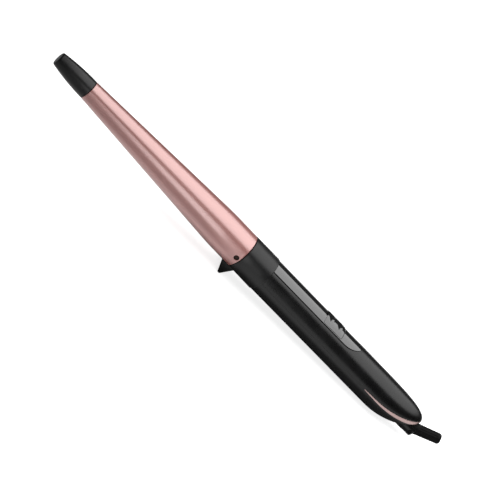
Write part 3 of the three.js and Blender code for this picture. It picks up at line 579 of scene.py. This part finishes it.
def makeBarrel():
    front, rear, edge = -barrel["length"], barrel["rear"], barrel["frontEdge"]
    outline = [(front, barrelRadius(front) - edge)]
    outline += [(x, barrelRadius(x)) for x in [front + edge] + barrel["rows"]]
    outline += rounded(rear, barrel["radius"], barrel["edge"], 1)
    blendStart, blendEnd = barrel["blend"] - barrel["straight"], -barrel["blend"] - barrel["straight"]
    outline += [(x, barrelRadius(x) - barrel["wall"]) for x in (rear, blendStart, blendEnd, front)]
    bm = bmesh.new()
    addTurned(bm, outline, barrel["sides"])
    tidy(bm)
    piece = newPiece("barrelTube", bm)
    hole = bmesh.new()
    start, end = barrel["holeReach"]
    addPin(hole, screwPlace(start), screwPlace(end), barrel["holeRadius"], barrel["holeSides"])
    combine(piece, hole)
    sharpen(piece)
    dress(piece, makeRoseCoat(), "handle", "rose_barrel", "barrel")
    print("barrel: tube with its screw hole,", len(piece.data.polygons), "faces")


makeBarrel()


# Barrel screw

screw = {
    "colour": (0.045, 0.028, 0.022),
    "roughness": 0.42,
    "metallic": 0.8,
    "headRadius": 1.55,
    "headTop": 12.3,
    "headFoot": 11.7,
    "shankFoot": 6.7,
    "shankRadius": 1.1,
    "recess": (1.9, 0.7, 0.34),
    "recessTurn": 20,
    "sides": (40, 24),  # of head and shank
    "edge": 0.1,
    "scratch": (3.0, 3.0),
    "roughnessChange": (-0.08, 0.13),
}


def makeBarrelScrew():
    bm = bmesh.new()
    headSides, shankSides = screw["sides"]
    headFoot, shankTop = screwPlace(screw["headFoot"]), screwPlace(screw["headFoot"] + 0.1)
    addPin(bm, headFoot, screwPlace(screw["headTop"]), screw["headRadius"], headSides)
    addPin(bm, screwPlace(screw["shankFoot"]), shankTop, screw["shankRadius"], shankSides)
    piece = newPiece("barrelScrewHead", bm)
    cross = bmesh.new()
    for turn in (0, 90):
        arm = Matrix.Rotation(math.radians(turn + screw["recessTurn"]), 4, "Y")
        addBox(cross, screwPlace(screw["headTop"]), screw["recess"], arm)
    combine(piece, cross)
    roundEdges(piece, screw["edge"], 2, 40)
    material, tree, shader = startMaterial("brownedSteel", screw)
    scratch = addNoise(tree, wandSpace(tree), *screw["scratch"])
    varyRoughness(tree, shader, scratch, screw["roughness"], screw["roughnessChange"])
    dress(piece, material, "handle", "steel", "barrel_screw")


makeBarrelScrew()
print("barrel screw: head with a cross recess")


# Cool tip

tip = {
    "front": -139.6,  # where it meets the barrel
    "rear": -165.7,
    "radius": 6.7,
    "endRadius": 4.7,
    "edge": 1.1,
    "frontEdge": 0.15,
    "endRing": 0.6,  # width of the ring round its flat end
    "room": (-151.6, -138, 5.0),  # start, end and radius of the hollow
    "roomSides": 64,
    "rows": 24,
    "sides": 128,
    "colour": (0.006, 0.006, 0.0064),
    "roughness": 0.34,
    "grainScale": 2.4,
    "grainStrength": 0.12,
}
satinLook = {
    "colour": (0.0025, 0.0025, 0.0027),
    "roughness": 0.27,
    "grainScale": 2.4,
    "grainStrength": 0.1,
}


def makeCoolTip():
    curveEnd = tip["rear"] + tip["edge"]
    middle = (tip["front"] + curveEnd) / 2
    edge = tip["frontEdge"]
    outline = [(tip["front"], 0), (tip["front"], tip["radius"] - edge), (tip["front"] - edge, tip["radius"])]
    for share in spread(0.02, 1, tip["rows"]):
        x = (1 - share) ** 2 * tip["front"] + 2 * share * (1 - share) * middle + share ** 2 * curveEnd
        r = (1 - share ** 2) * tip["radius"] + share ** 2 * tip["endRadius"]
        outline.append((x, r))
    outline += rounded(tip["rear"], tip["endRadius"], tip["edge"], -1, 6)[1:]
    outline += [(tip["rear"], tip["endRadius"] - tip["edge"] - tip["endRing"]), (tip["rear"], 0)]
    bm = bmesh.new()
    addTurned(bm, outline, tip["sides"])
    tidy(bm)
    piece = newPiece("coolTipCap", bm)
    room = bmesh.new()
    start, end, radius = tip["room"]
    addTurned(room, [(start, 0), (start, radius), (end, radius), (end, 0)], tip["roomSides"])
    tidy(room)
    combine(piece, room)
    sharpen(piece)
    dress(piece, mouldedPlastic("tipPlastic", tip), "handle", "satin_black", "cool_tip")


makeCoolTip()
print("cool tip: tapered cap")

satinPlastic = mouldedPlastic("satinBlackPlastic", satinLook)


# Collar and foot

collar = {
    "front": 0.0,
    "rear": 20.3,
    "frontRadius": 12.57,
    "rearRadius": 12.75,
    "bore": 11.7,
    "edge": 0.35,
    "swell": [(7, 12.63), (14, 12.69)],  # places and radii between its ends
    "sides": 160,
    "footDrop": 18.6,
    "footWidth": 17.0,
    "footLength": 10.6,
    "footTip": 1.6,
    "footRoot": 9.4,
    "footTop": 6.0,  # the foot is drawn up to here and cut back inside the ring
    "footLean": 0.7,  # how far its root lies in front of its tip
    "footEdge": 0.35,
    "footBevel": (3, 30),  # segments and least angle
    "barrelRoom": 12.8,  # radius that is cut from the foot in front of the ring
    "ringRoom": 12.2,  # and inside it
    "roomReach": 20,
    "colour": (0.0025, 0.0025, 0.0027),
    "roughness": 0.36,
    "grainScale": 2.4,
    "grainStrength": 0.15,
}


def makeCollar():
    front, rear = collar["front"], collar["rear"]
    outline = [(front, collar["bore"])]
    outline += reversed(rounded(front, collar["frontRadius"], collar["edge"], -1))
    outline += collar["swell"]
    outline += rounded(rear, collar["rearRadius"], collar["edge"], 1)
    outline += [(rear, collar["bore"])]
    bm = bmesh.new()
    addTurned(bm, outline, collar["sides"])
    tidy(bm)
    piece = newPiece("collarRing", bm)

    slope = math.tan(wandTilt)
    tipHalf, wide = collar["footTip"] / 2, collar["footWidth"] / 2
    low = -collar["footDrop"]
    front = -collar["footLength"] / 2 - collar["footLean"]
    rear = collar["footLength"] / 2 - collar["footLean"]
    root, top = -collar["footRoot"], -collar["footTop"]
    side = [(front, root), (front, top), (rear, top), (rear, root)]
    side += [(tipHalf, low + tipHalf * slope), (-tipHalf, low - tipHalf * slope)]
    bm = bmesh.new()
    addBlock(bm, [(x, -wide, z) for x, z in side], [(x, wide, z) for x, z in side])
    foot = newPiece("foot", bm)
    addBevel(foot, collar["footEdge"], *collar["footBevel"])
    settle(foot)
    inner = bmesh.new()
    reach, wideRoom, room = collar["roomReach"], collar["barrelRoom"], collar["ringRoom"]
    addTurned(inner, [(-reach, 0), (-reach, wideRoom), (0, wideRoom), (0, room), (reach, room), (reach, 0)],
              collar["sides"])
    tidy(inner)
    combine(foot, inner)
    clear = bmesh.new()
    addBox(clear, (-reach / 2, 0, 0), (reach, 2 * reach, 2 * collar["footRoot"]))
    combine(foot, clear)
    join(piece, foot)
    sharpen(piece, 35)
    dress(piece, mouldedPlastic("collarPlastic", collar), "handle", "satin_black", "collar")


makeCollar()
print("collar: ring with the rest foot")


# Handle shells

shell = {
    "wall": 2.2,
    "lowerWall": 1.4,
    "edge": 0.12,
    "columns": 30,
    "frontRows": 12,
    "panelEndRows": 16,
    "plainRows": 3,
    "trimRows": 4,
    "tailRows": (34, 20),  # of the upper and the lower shell
    "closingRows": 12,
    "openingRows": 30,
    "openingStep": 0.02,
    "openingMargin": 0.02,  # radians
    "openingPower": 1.6,  # crowds its rows towards the front
    "panelHalf": 7.55,
    "panelRear": 86.3,
    "panelEnd": 12.8,
    "trimStart": 118.0,
    "trimLead": 0.01,  # the last row before the trim, where the edge jumps
    "trimStartHalf": 0.2,
    "trimEndHalf": 1.8,
    "trimGap": 0.12,
    "noseRadius": 4.4,  # where the upper shell's edge starts to close over the end
    "boreFront": 144,  # the skins' insides are kept out of the swivel's room from here on
}


def panelHalfAt(x, half, end):
    share = clamp((x - shell["panelRear"]) / end)
    return half * math.sqrt(max(0.0, 1 - share * share))


def trimHalfAt(x):
    start, end = shell["trimStart"], form["tailStart"] + form["tailLength"]
    share = clamp((x - start) / (end - start))
    return shell["trimStartHalf"] + (shell["trimEndHalf"] - shell["trimStartHalf"]) * share


def edgeHalf(x):
    # how far a shell's edge stays from the parting line
    if x < shell["trimStart"]:
        return form["partingGap"] / 2
    return trimHalfAt(x) + shell["trimGap"]


def edgeAngle(x, side):
    # the angle of the upper (side 1) or lower (side -1) edge at the trim or the parting line
    r = radiusAt(x)
    return math.acos(clamp(math.cos(form["partingAngle"]) + side * edgeHalf(x) / r, -1, 1))


def boreAngle(x):
    # where the lower shell's skin runs into the swivel's bore, or the bottom where it doesn't
    r, c, free = radiusAt(x), centreAt(x), sweepAt(x)
    if c - r < -free:
        return math.pi
    return math.acos(clamp((free ** 2 - r ** 2 - c ** 2) / (2 * r * c), -1, 1))


def tailStations(end, count):
    # steps along the rounded end that grow finer with its slope
    turn = math.asin((end - form["tailStart"]) / form["tailLength"])
    return [form["tailStart"] + form["tailLength"] * math.sin(turn * i / count) for i in range(1, count + 1)]


def upperStations():
    panelEnd = shell["panelRear"] + shell["panelEnd"]
    places = spread(form["front"], shell["panelRear"], shell["frontRows"])
    places += easedOut(shell["panelRear"], panelEnd, shell["panelEndRows"])[1:]
    plainEnd = shell["trimStart"] - shell["trimLead"]
    places += spread(panelEnd, plainEnd, shell["plainRows"])[1:]
    places += spread(shell["trimStart"], form["tailStart"], shell["trimRows"])
    x = placeAt(shell["noseRadius"])
    places += tailStations(x, shell["tailRows"][0])
    # beyond here the edge closes over the end, so the steps go by its angle
    startAngle = edgeAngle(x, 1)
    for i in range(1, shell["closingRows"] + 1):
        angle = startAngle * (1 - i / shell["closingRows"])
        for _ in range(8):
            radius = edgeHalf(x) / (math.cos(angle) - math.cos(form["partingAngle"]))
            x = placeAt(radius)
        places.append(x)
    return places


def makeSkin(name, rows):
    # a sheet of one side's rows and their mirror image
    bm = bmesh.new()
    addSheet(bm, rows)
    addSheet(bm, [[(x, -y, z) for x, y, z in row] for row in rows])
    bmesh.ops.remove_doubles(bm, verts=bm.verts, dist=1e-3)
    bmesh.ops.dissolve_degenerate(bm, edges=bm.edges, dist=1e-4)
    faceOut(bm)
    return newPiece(name, bm)


def makeUpperShell():
    rows = []
    for x in upperStations():
        low = math.asin(min(1, panelHalfAt(x, shell["panelHalf"], shell["panelEnd"]) / radiusAt(x)))
        rows.append([onHandle(x, angle) for angle in spread(low, edgeAngle(x, 1), shell["columns"])])
    piece = makeSkin("upperShellSkin", rows)
    thicken(piece, shell["wall"])
    roundEdges(piece, shell["edge"], 3)
    dress(piece, satinPlastic, "handle", "satin_black", "upper_shell")


def boreStart():
    # where the handle's underside comes so near to the axis that the swivel's bore opens it
    low, high = form["tailStart"], form["tailStart"] + form["tailLength"]
    for _ in range(40):
        x = (low + high) / 2
        if centreAt(x) - radiusAt(x) < -form["drumBore"]:
            low = x
        else:
            high = x
    return low


def lowerStations():
    opening = boreStart()
    places = spread(form["front"], shell["trimStart"] - shell["trimLead"], shell["frontRows"])
    places += spread(shell["trimStart"], form["tailStart"], shell["trimRows"])
    places += tailStations(opening, shell["tailRows"][1])
    end, step, margin = opening, shell["openingStep"], shell["openingMargin"]
    while boreAngle(end + step) > edgeAngle(end + step, -1) + margin:
        end += step
    # the swivel's bore takes away more of the underside from row to row
    shares = [share ** shell["openingPower"] for share in spread(0, 1, shell["openingRows"])[1:]]
    places += [opening + (end - opening) * share for share in shares]
    return places


def makeLowerShell():
    rows = []
    for x in lowerStations():
        angles = spread(edgeAngle(x, -1), boreAngle(x), shell["columns"])
        rows.append([onHandle(x, angle) for angle in angles])
    piece = makeSkin("lowerShellSkin", rows)
    thicken(piece, shell["lowerWall"])
    clearBore(piece)
    roundEdges(piece, shell["edge"], 3)
    dress(piece, satinPlastic, "handle", "satin_black", "lower_shell")


def clearBore(piece):
    # keeps the inside of a thickened skin out of the swivel's room
    back = layWand.inverted()
    for vertex in piece.data.vertices:
        place = back @ vertex.co
        off = math.hypot(place.y, place.z)
        if place.x > shell["boreFront"] and 0.1 < off < sweepAt(place.x):
            grow = sweepAt(place.x) / off
            vertex.co = layWand @ Vector((place.x, place.y * grow, place.z * grow))


makeUpperShell()
makeLowerShell()
print("handle: two shells")


# Control panel

panel = {
    "half": 6.95,
    "end": 12.5,
    "depth": 1.2,
    "edge": 0.22,
    "slotHalfLength": 5.8,
    "slotHalfWidth": 1.8,
    "slotCorner": 0.6,  # share of its half width
    "slotHeight": (5, 20),  # from and to over the wand's axis
    "slotMiddle": 71.6,
    "rows": 24,
    "endRows": 18,
    "columns": 28,
    "colour": (0.006, 0.006, 0.0065),
    "roughness": 0.07,
    "ior": 1.9,
    "coat": 0.6,
    "smear": (0.16, 5.0, 0.65),
    "roughnessChange": (-0.02, 0.05),
    "ripple": (0.35, 1.0),
    "rippleBump": (0.05, 0.02),
}


def makeGloss(name, look):
    material, tree, shader = startMaterial(name, look)
    space = wandSpace(tree)
    smear = addNoise(tree, space, *look["smear"])
    varyRoughness(tree, shader, smear, look["roughness"], look["roughnessChange"])
    addBump(tree, shader, addNoise(tree, space, *look["ripple"]), *look["rippleBump"])
    return material


glossPlastic = makeGloss("glossBlackPlastic", panel)


def addSlotBlock(bm, steps=8):
    middle, halfLength, halfWidth = panel["slotMiddle"], panel["slotHalfLength"], panel["slotHalfWidth"]
    low, high = panel["slotHeight"]
    corner = halfWidth * panel["slotCorner"]
    outline = []
    for i, (sx, sy) in enumerate(((1, 1), (-1, 1), (-1, -1), (1, -1))):
        for k in range(steps + 1):
            turn = math.pi / 2 * (i + k / steps)
            x = middle + sx * (halfLength - corner) + corner * math.cos(turn)
            outline.append((x, sy * (halfWidth - corner) + corner * math.sin(turn)))
    addBlock(bm, [(x, y, low) for x, y in outline], [(x, y, high) for x, y in outline])


def makePanel():
    bm = bmesh.new()
    places = spread(form["front"], shell["panelRear"], panel["rows"])
    places += easedOut(shell["panelRear"], shell["panelRear"] + panel["end"], panel["endRows"])[1:]
    rows = []
    for x in places:
        side = math.asin(panelHalfAt(x, panel["half"], panel["end"]) / radiusAt(x))
        rows.append([onHandle(x, angle) for angle in spread(-side, side, panel["columns"])])
    addSheet(bm, rows)
    bmesh.ops.remove_doubles(bm, verts=bm.verts, dist=1e-3)
    faceOut(bm)
    piece = newPiece("glossPanel", bm)
    thicken(piece, panel["depth"])
    slot = bmesh.new()
    addSlotBlock(slot)
    combine(piece, slot)
    roundEdges(piece, panel["edge"], 3)
    dress(piece, glossPlastic, "handle", "gloss_black", "control_panel")


makePanel()
print("panel: glossy strip")


# Trim band

trim = {
    "proud": 0.12,
    "depth": 1.1,
    "edge": 0.1,
    "columns": 8,
    "frontRows": 8,
    "tailRows": 30,
    "noseRadius": 5.0,  # where the band starts to turn round the end
    "noseRows": 28,
    "colour": (0.64, 0.46, 0.44),
    "metallic": 0.9,
    "roughness": 0.28,
    "roughnessChange": (-0.05, 0.06),
    "cloud": (0.4, 4.0),
    "fine": (3.0, 2.0),
    "fineStretch": (0.1, 1, 1),
    "fineBump": (0.06, 0.01),
}


def trimEdges(x, y):
    # lowest and highest place of the band over the centre line; at its end it clears the swivel's bore
    r = radiusAt(x)
    line = math.cos(form["partingAngle"]) * r
    half = trimHalfAt(x)
    free = sweepAt(x) ** 2 - y * y
    low = line - half
    if free > 0:
        low = max(low, math.sqrt(free) - centreAt(x))
    return low, line + half


def makeTrim():
    bm = bmesh.new()
    turnRadius = trim["noseRadius"]
    turnX = placeAt(turnRadius)
    places = spread(shell["trimStart"], form["tailStart"], trim["frontRows"])
    places += tailStations(turnX, trim["tailRows"])
    shares = spread(0, 1, trim["columns"])
    side = []
    for x in places:
        low, high = trimEdges(x, radiusAt(x))
        lifts = [low + (high - low) * share for share in shares]
        side.append([(x, math.sqrt(radiusAt(x) ** 2 - w * w), centreAt(x) + w) for w in lifts])
    nose = []
    for i in range(1, trim["noseRows"]):
        swing = math.cos(math.pi * i / trim["noseRows"])
        row = []
        for share in shares:
            low, high = trimEdges(turnX, radiusAt(turnX))
            w = low + (high - low) * share
            y = swing * math.sqrt(turnRadius ** 2 - w * w)
            for _ in range(12):
                x = placeAt(math.hypot(y, w))
                low, high = trimEdges(x, y)
                w = low + (high - low) * share
            x = placeAt(math.hypot(y, w))
            row.append((x, y, centreAt(x) + w))
        nose.append(row)
    other = [[(x, -y, z) for x, y, z in row] for row in reversed(side)]
    addSheet(bm, side + nose + other)
    bmesh.ops.remove_doubles(bm, verts=bm.verts, dist=1e-3)
    faceOut(bm)
    piece = newPiece("roseTrim", bm)
    thicken(piece, trim["depth"], trim["proud"])
    roundEdges(piece, trim["edge"], 2)
    material, tree, shader = startMaterial("polishedRoseTrim", trim)
    cloud = addNoise(tree, wandSpace(tree), *trim["cloud"])
    varyRoughness(tree, shader, cloud, trim["roughness"], trim["roughnessChange"])
    fine = addNoise(tree, wandSpace(tree, trim["fineStretch"]), *trim["fine"])
    addBump(tree, shader, fine, *trim["fineBump"])
    dress(piece, material, "handle", "rose_trim", "trim_band")


makeTrim()
print("trim: band round the handle's end")


# Switch knob

knob = {
    "middle": 74.6,
    "length": 16.4,
    "width": 13.4,
    "corner": 0.8,
    "under": 0.1,  # gap over the panel
    "rimFront": 0.18,  # height of its edges over the panel
    "rim": 0.4,
    "proud": 0.6,
    "crown": 2.2,  # width over which it rises from the edge
    "fallRear": 0.45,  # length of the slope at its rear edge
    "edge": 0.05,
    "lip": 0.2,
    "lipRear": 1.1,  # length of a lip's slope towards the cord
    "lipFront": 1.7,
    "scoop": 0.4,
    "scoopFront": 2.9,  # length of the slope down into a scoop
    "scoopHalf": 4.0,  # of its width across the knob
    "spacing": 7.8,
    "lipShift": 1.2,  # of the lips behind the knob's middle
    "rows": 110,
    "cornerRows": 6,
    "columns": 60,
    "stem": (5, 3, 5.6),
    "stemHeight": 10.3,
    "stemEdge": 0.2,
}


def eased(share):
    share = clamp(share)
    return share * share * (3 - 2 * share)


def knobLift(x, y):
    # two finger scoops with a raised lip behind each, all running out to the sides
    narrow = 1 - (y / knob["scoopHalf"]) ** 2
    if narrow <= 0:
        return 0.0
    lift = 0.0
    for side in (-1, 1):
        crest = knob["middle"] + knob["lipShift"] + side * knob["spacing"] / 2
        away = x - crest
        if away >= 0:
            lift += knob["lip"] * eased(1 - away / knob["lipRear"])
        elif away > -knob["lipFront"]:
            lift += knob["lip"] - (knob["lip"] + knob["scoop"]) * eased(-away / knob["lipFront"])
        else:
            slope = knob["scoopFront"] * narrow + 0.01
            lift -= knob["scoop"] * eased(1 - (-away - knob["lipFront"]) / slope)
    return lift * narrow


def makeKnob():
    half, wide, corner = knob["length"] / 2, knob["width"] / 2, knob["corner"]
    places = easedOut(half - corner, half, knob["cornerRows"])
    straight = spread(corner - half, half - corner, knob["rows"])[1:-1]
    places = [-p for p in reversed(places)] + straight + places
    tops, feet = [], []
    for place in places:
        x = knob["middle"] + place
        over = max(0.0, abs(place) - (half - corner))
        reach = wide - corner + math.sqrt(max(0.0, corner ** 2 - over ** 2))
        top, foot = [], []
        for y in [reach * math.sin(math.pi / 2 * s) for s in spread(-1, 1, knob["columns"])]:
            rim = knob["rimFront"] + (knob["rim"] - knob["rimFront"]) * eased(place / half + 1)
            inside = min(half - abs(place), reach - abs(y))
            rise = rim + (knob["proud"] - rim) * eased(inside / knob["crown"])
            rise -= (rim - knob["rimFront"]) * eased(1 - (half - place) / knob["fallRear"])
            inner = radiusAt(x) + knob["under"]
            outer = max(radiusAt(x) + rise + knobLift(x, y), inner + knob["edge"])
            top.append((x, y, centreAt(x) + math.sqrt(outer ** 2 - y * y)))
            foot.append((x, y, centreAt(x) + math.sqrt(inner ** 2 - y * y)))
        tops.append(top)
        feet.append(foot)
    bm = bmesh.new()
    addSheet(bm, tops)
    addSheet(bm, feet)
    addSheet(bm, [tops[0], feet[0]])
    addSheet(bm, [tops[-1], feet[-1]])
    for k in (0, -1):
        addSheet(bm, [[row[k] for row in tops], [row[k] for row in feet]])
    tidy(bm, 1e-3)
    piece = newPiece("slideKnob", bm)
    roundEdges(piece, knob["edge"], 2, 50)
    stem = bmesh.new()
    addBox(stem, (knob["middle"], 0, knob["stemHeight"]), knob["stem"])
    bmesh.ops.bevel(stem, geom=stem.edges, offset=knob["stemEdge"], segments=2, affect="EDGES", profile=0.5)
    combine(piece, stem, "UNION")
    sharpen(piece, 50)
    dress(piece, glossPlastic, "switch", "gloss_black", "switch_knob")


makeKnob()
print("switch: knob with two finger scoops")


# Swivel drum

drum = {
    "radius": 5.45,
    "end": 165.7,
    "edge": 0.35,
    "keeperRadius": 6.8,
    "keeperFront": 141.5,
    "keeperRear": 144.0,
    "journalRadius": 3.2,
    "journalFront": 126.5,
    "cordBore": 2.0,
    "slotHalf": 4.2,
    "slotFront": 159.2,
    "pinHole": 1.5,
    "rows": (148, 152, 156, 160, 163),
    "sides": 96,
    "cutReach": 10,
    "pinReach": 8,
    "pinSides": 40,
}


def makeDrum():
    outline = [(drum["journalFront"], drum["cordBore"]), (drum["journalFront"], drum["journalRadius"])]
    outline += [(drum["keeperFront"], drum["journalRadius"]), (drum["keeperFront"], drum["keeperRadius"])]
    outline += [(drum["keeperRear"], drum["keeperRadius"]), (drum["keeperRear"], drum["radius"])]
    outline += [(x, drum["radius"]) for x in drum["rows"]]
    outline += rounded(drum["end"], drum["radius"], drum["edge"], 1)
    outline += [(drum["end"], drum["cordBore"])]
    bm = bmesh.new()
    addTurned(bm, outline, drum["sides"])
    tidy(bm)
    piece = newPiece("swivelDrum", bm)
    slot = bmesh.new()
    reach = drum["cutReach"]
    addBox(slot, (drum["slotFront"] + reach, 0, 0), (2 * reach, 2 * drum["slotHalf"], 2 * reach))
    combine(piece, slot)
    hole = bmesh.new()
    ends = [Vector((form["pivotX"], side * drum["pinReach"], 0)) for side in (-1, 1)]
    addPin(hole, *ends, drum["pinHole"], drum["pinSides"])
    combine(piece, hole)
    sharpen(piece)
    dress(piece, satinPlastic, "swivel", "satin_black", "swivel_rotor")


makeDrum()
print("swivel: drum with its fork")


# Cord boot

boot = {
    "radius": 3.9,
    "endRadius": 3.65,
    "length": 21.0,
    "edge": 2.2,
    "bore": 2.6,
    "pinRadius": 1.2,
    "pinEnd": 5.25,
    "flutes": 14,
    "fluteDepth": 0.22,
    "fluteStart": 4.5,
    "fluteEnd": 18.5,
    "fluteFade": 1.5,
    "ballRows": 14,
    "rows": 40,
    "sides": 168,
    "boreReach": (-8, 30),
    "boreSides": 64,
    "colour": (0.0025, 0.0025, 0.0027),
    "roughness": 0.5,
    "ior": 1.22,
    "grainScale": 3.0,
    "grainStrength": 0.35,
}


def makeBoot():
    ball = boot["radius"]
    outline = [(-ball * math.cos(t), ball * math.sin(t)) for t in spread(0, math.pi / 2, boot["ballRows"])]
    straight = boot["length"] - boot["edge"]
    taper = (boot["endRadius"] - ball) / straight
    outline += [(x, ball + taper * x) for x in spread(1, straight - 0.5, boot["rows"])]
    outline += rounded(boot["length"], boot["endRadius"], boot["edge"], 1, 6)
    outline += [(boot["length"], 0), (-ball, 0)]
    bm = bmesh.new()
    addTurned(bm, outline, boot["sides"])
    tidy(bm)
    for vertex in bm.verts:
        x, y, z = vertex.co
        off = math.hypot(y, z)
        fade = boot["fluteFade"]
        ease = clamp((x - boot["fluteStart"]) / fade) * clamp((boot["fluteEnd"] - x) / fade)
        # only the sleeve's outside has flutes
        if off > boot["bore"] and ease > 0:
            wave = (0.5 - 0.5 * math.cos(boot["flutes"] * math.atan2(y, z))) ** 2
            dip = boot["fluteDepth"] * ease * wave
            vertex.co = Vector((x, y * (off - dip) / off, z * (off - dip) / off))
    tilt = Matrix.Rotation(-math.radians(form["bootTilt"]), 4, "Y")
    place = layWand @ Matrix.Translation((form["pivotX"], 0, 0)) @ tilt
    piece = newPiece("cordBoot", bm, place)
    pins = bmesh.new()
    addPin(pins, Vector((0, -boot["pinEnd"], 0)), Vector((0, boot["pinEnd"], 0)), boot["pinRadius"])
    combine(piece, pins, "UNION", place)
    hole = bmesh.new()
    addPin(hole, *[Vector((x, 0, 0)) for x in boot["boreReach"]], boot["bore"], boot["boreSides"])
    combine(piece, hole, "DIFFERENCE", place)
    sharpen(piece)
    dress(piece, mouldedPlastic("bootRubber", boot), "boot", "boot_rubber", "cord_boot")


makeBoot()
print("boot: tilting sleeve of the cord")


# Inner pieces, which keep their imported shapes

innerLooks = {
    "heatPlastic": {"colour": (0.045, 0.034, 0.026), "roughness": 0.6,
                    "grainScale": 1.5, "grainStrength": 0.3},
    "steel": {"colour": (0.5, 0.51, 0.53), "roughness": 0.32, "metallic": 1.0},
    "aluminium": {"colour": (0.6, 0.61, 0.62), "roughness": 0.42, "metallic": 1.0},
    "brass": {"colour": (0.58, 0.4, 0.12), "roughness": 0.28, "metallic": 1.0},
    "ceramic": {"colour": (0.27, 0.26, 0.23), "roughness": 0.8},
    "film": {"colour": (0.46, 0.18, 0.03), "roughness": 0.3},
    "board": {"colour": (0.03, 0.14, 0.06), "roughness": 0.45},
    "liveWire": {"colour": (0.2, 0.07, 0.02), "roughness": 0.45},
    "neutralWire": {"colour": (0.035, 0.09, 0.32), "roughness": 0.45},
}
innerNodes = {
    "heatPlastic": ["tip_holder", "barrel_socket", "switch_body", "contact_carrier", "switch_slider",
                    "power_diode"],
    "steel": ["tip_screw", "spreader_spring_left", "spreader_spring_right", "thermal_fuse",
              "shell_screw_front", "shell_screw_rear"],
    "aluminium": ["clamp_plate_upper", "clamp_plate_lower", "electrode_live", "electrode_neutral"],
    "brass": ["slip_ring_live", "slip_ring_neutral", "contact_spring_live", "contact_spring_neutral"],
    "ceramic": ["ceramic_heater"],
    "film": ["insulating_sleeve"],
    "board": ["circuit_board"],
    "liveWire": ["heater_lead_live", "contact_lead_live"],
    "neutralWire": ["heater_lead_neutral", "contact_lead_neutral"],
}
innerPattern = {
    "cloud": (0.8, 4.0),
    "tint": (0.85, 1.1),
    "roughnessChange": (-0.08, 0.1),
}


def makeInner(name, look):
    if "grainScale" in look:
        return mouldedPlastic(name, look)
    material, tree, shader = startMaterial(name, look)
    cloud = addNoise(tree, wandSpace(tree), *innerPattern["cloud"])
    varyRoughness(tree, shader, cloud, look["roughness"], innerPattern["roughnessChange"])
    tree.links.new(addTint(tree, cloud, look["colour"], innerPattern["tint"]), shader.inputs["Base Color"])
    return material


for name, look in innerLooks.items():
    material = makeInner("inner" + name[0].upper() + name[1:], look)
    for node in innerNodes[name]:
        piece = frame["nodes"][node]
        piece.data.materials.clear()
        piece.data.materials.append(material)
print("inside:", sum(len(n) for n in innerNodes.values()), "nodes dressed")

scene.view_settings.view_transform = "Standard"
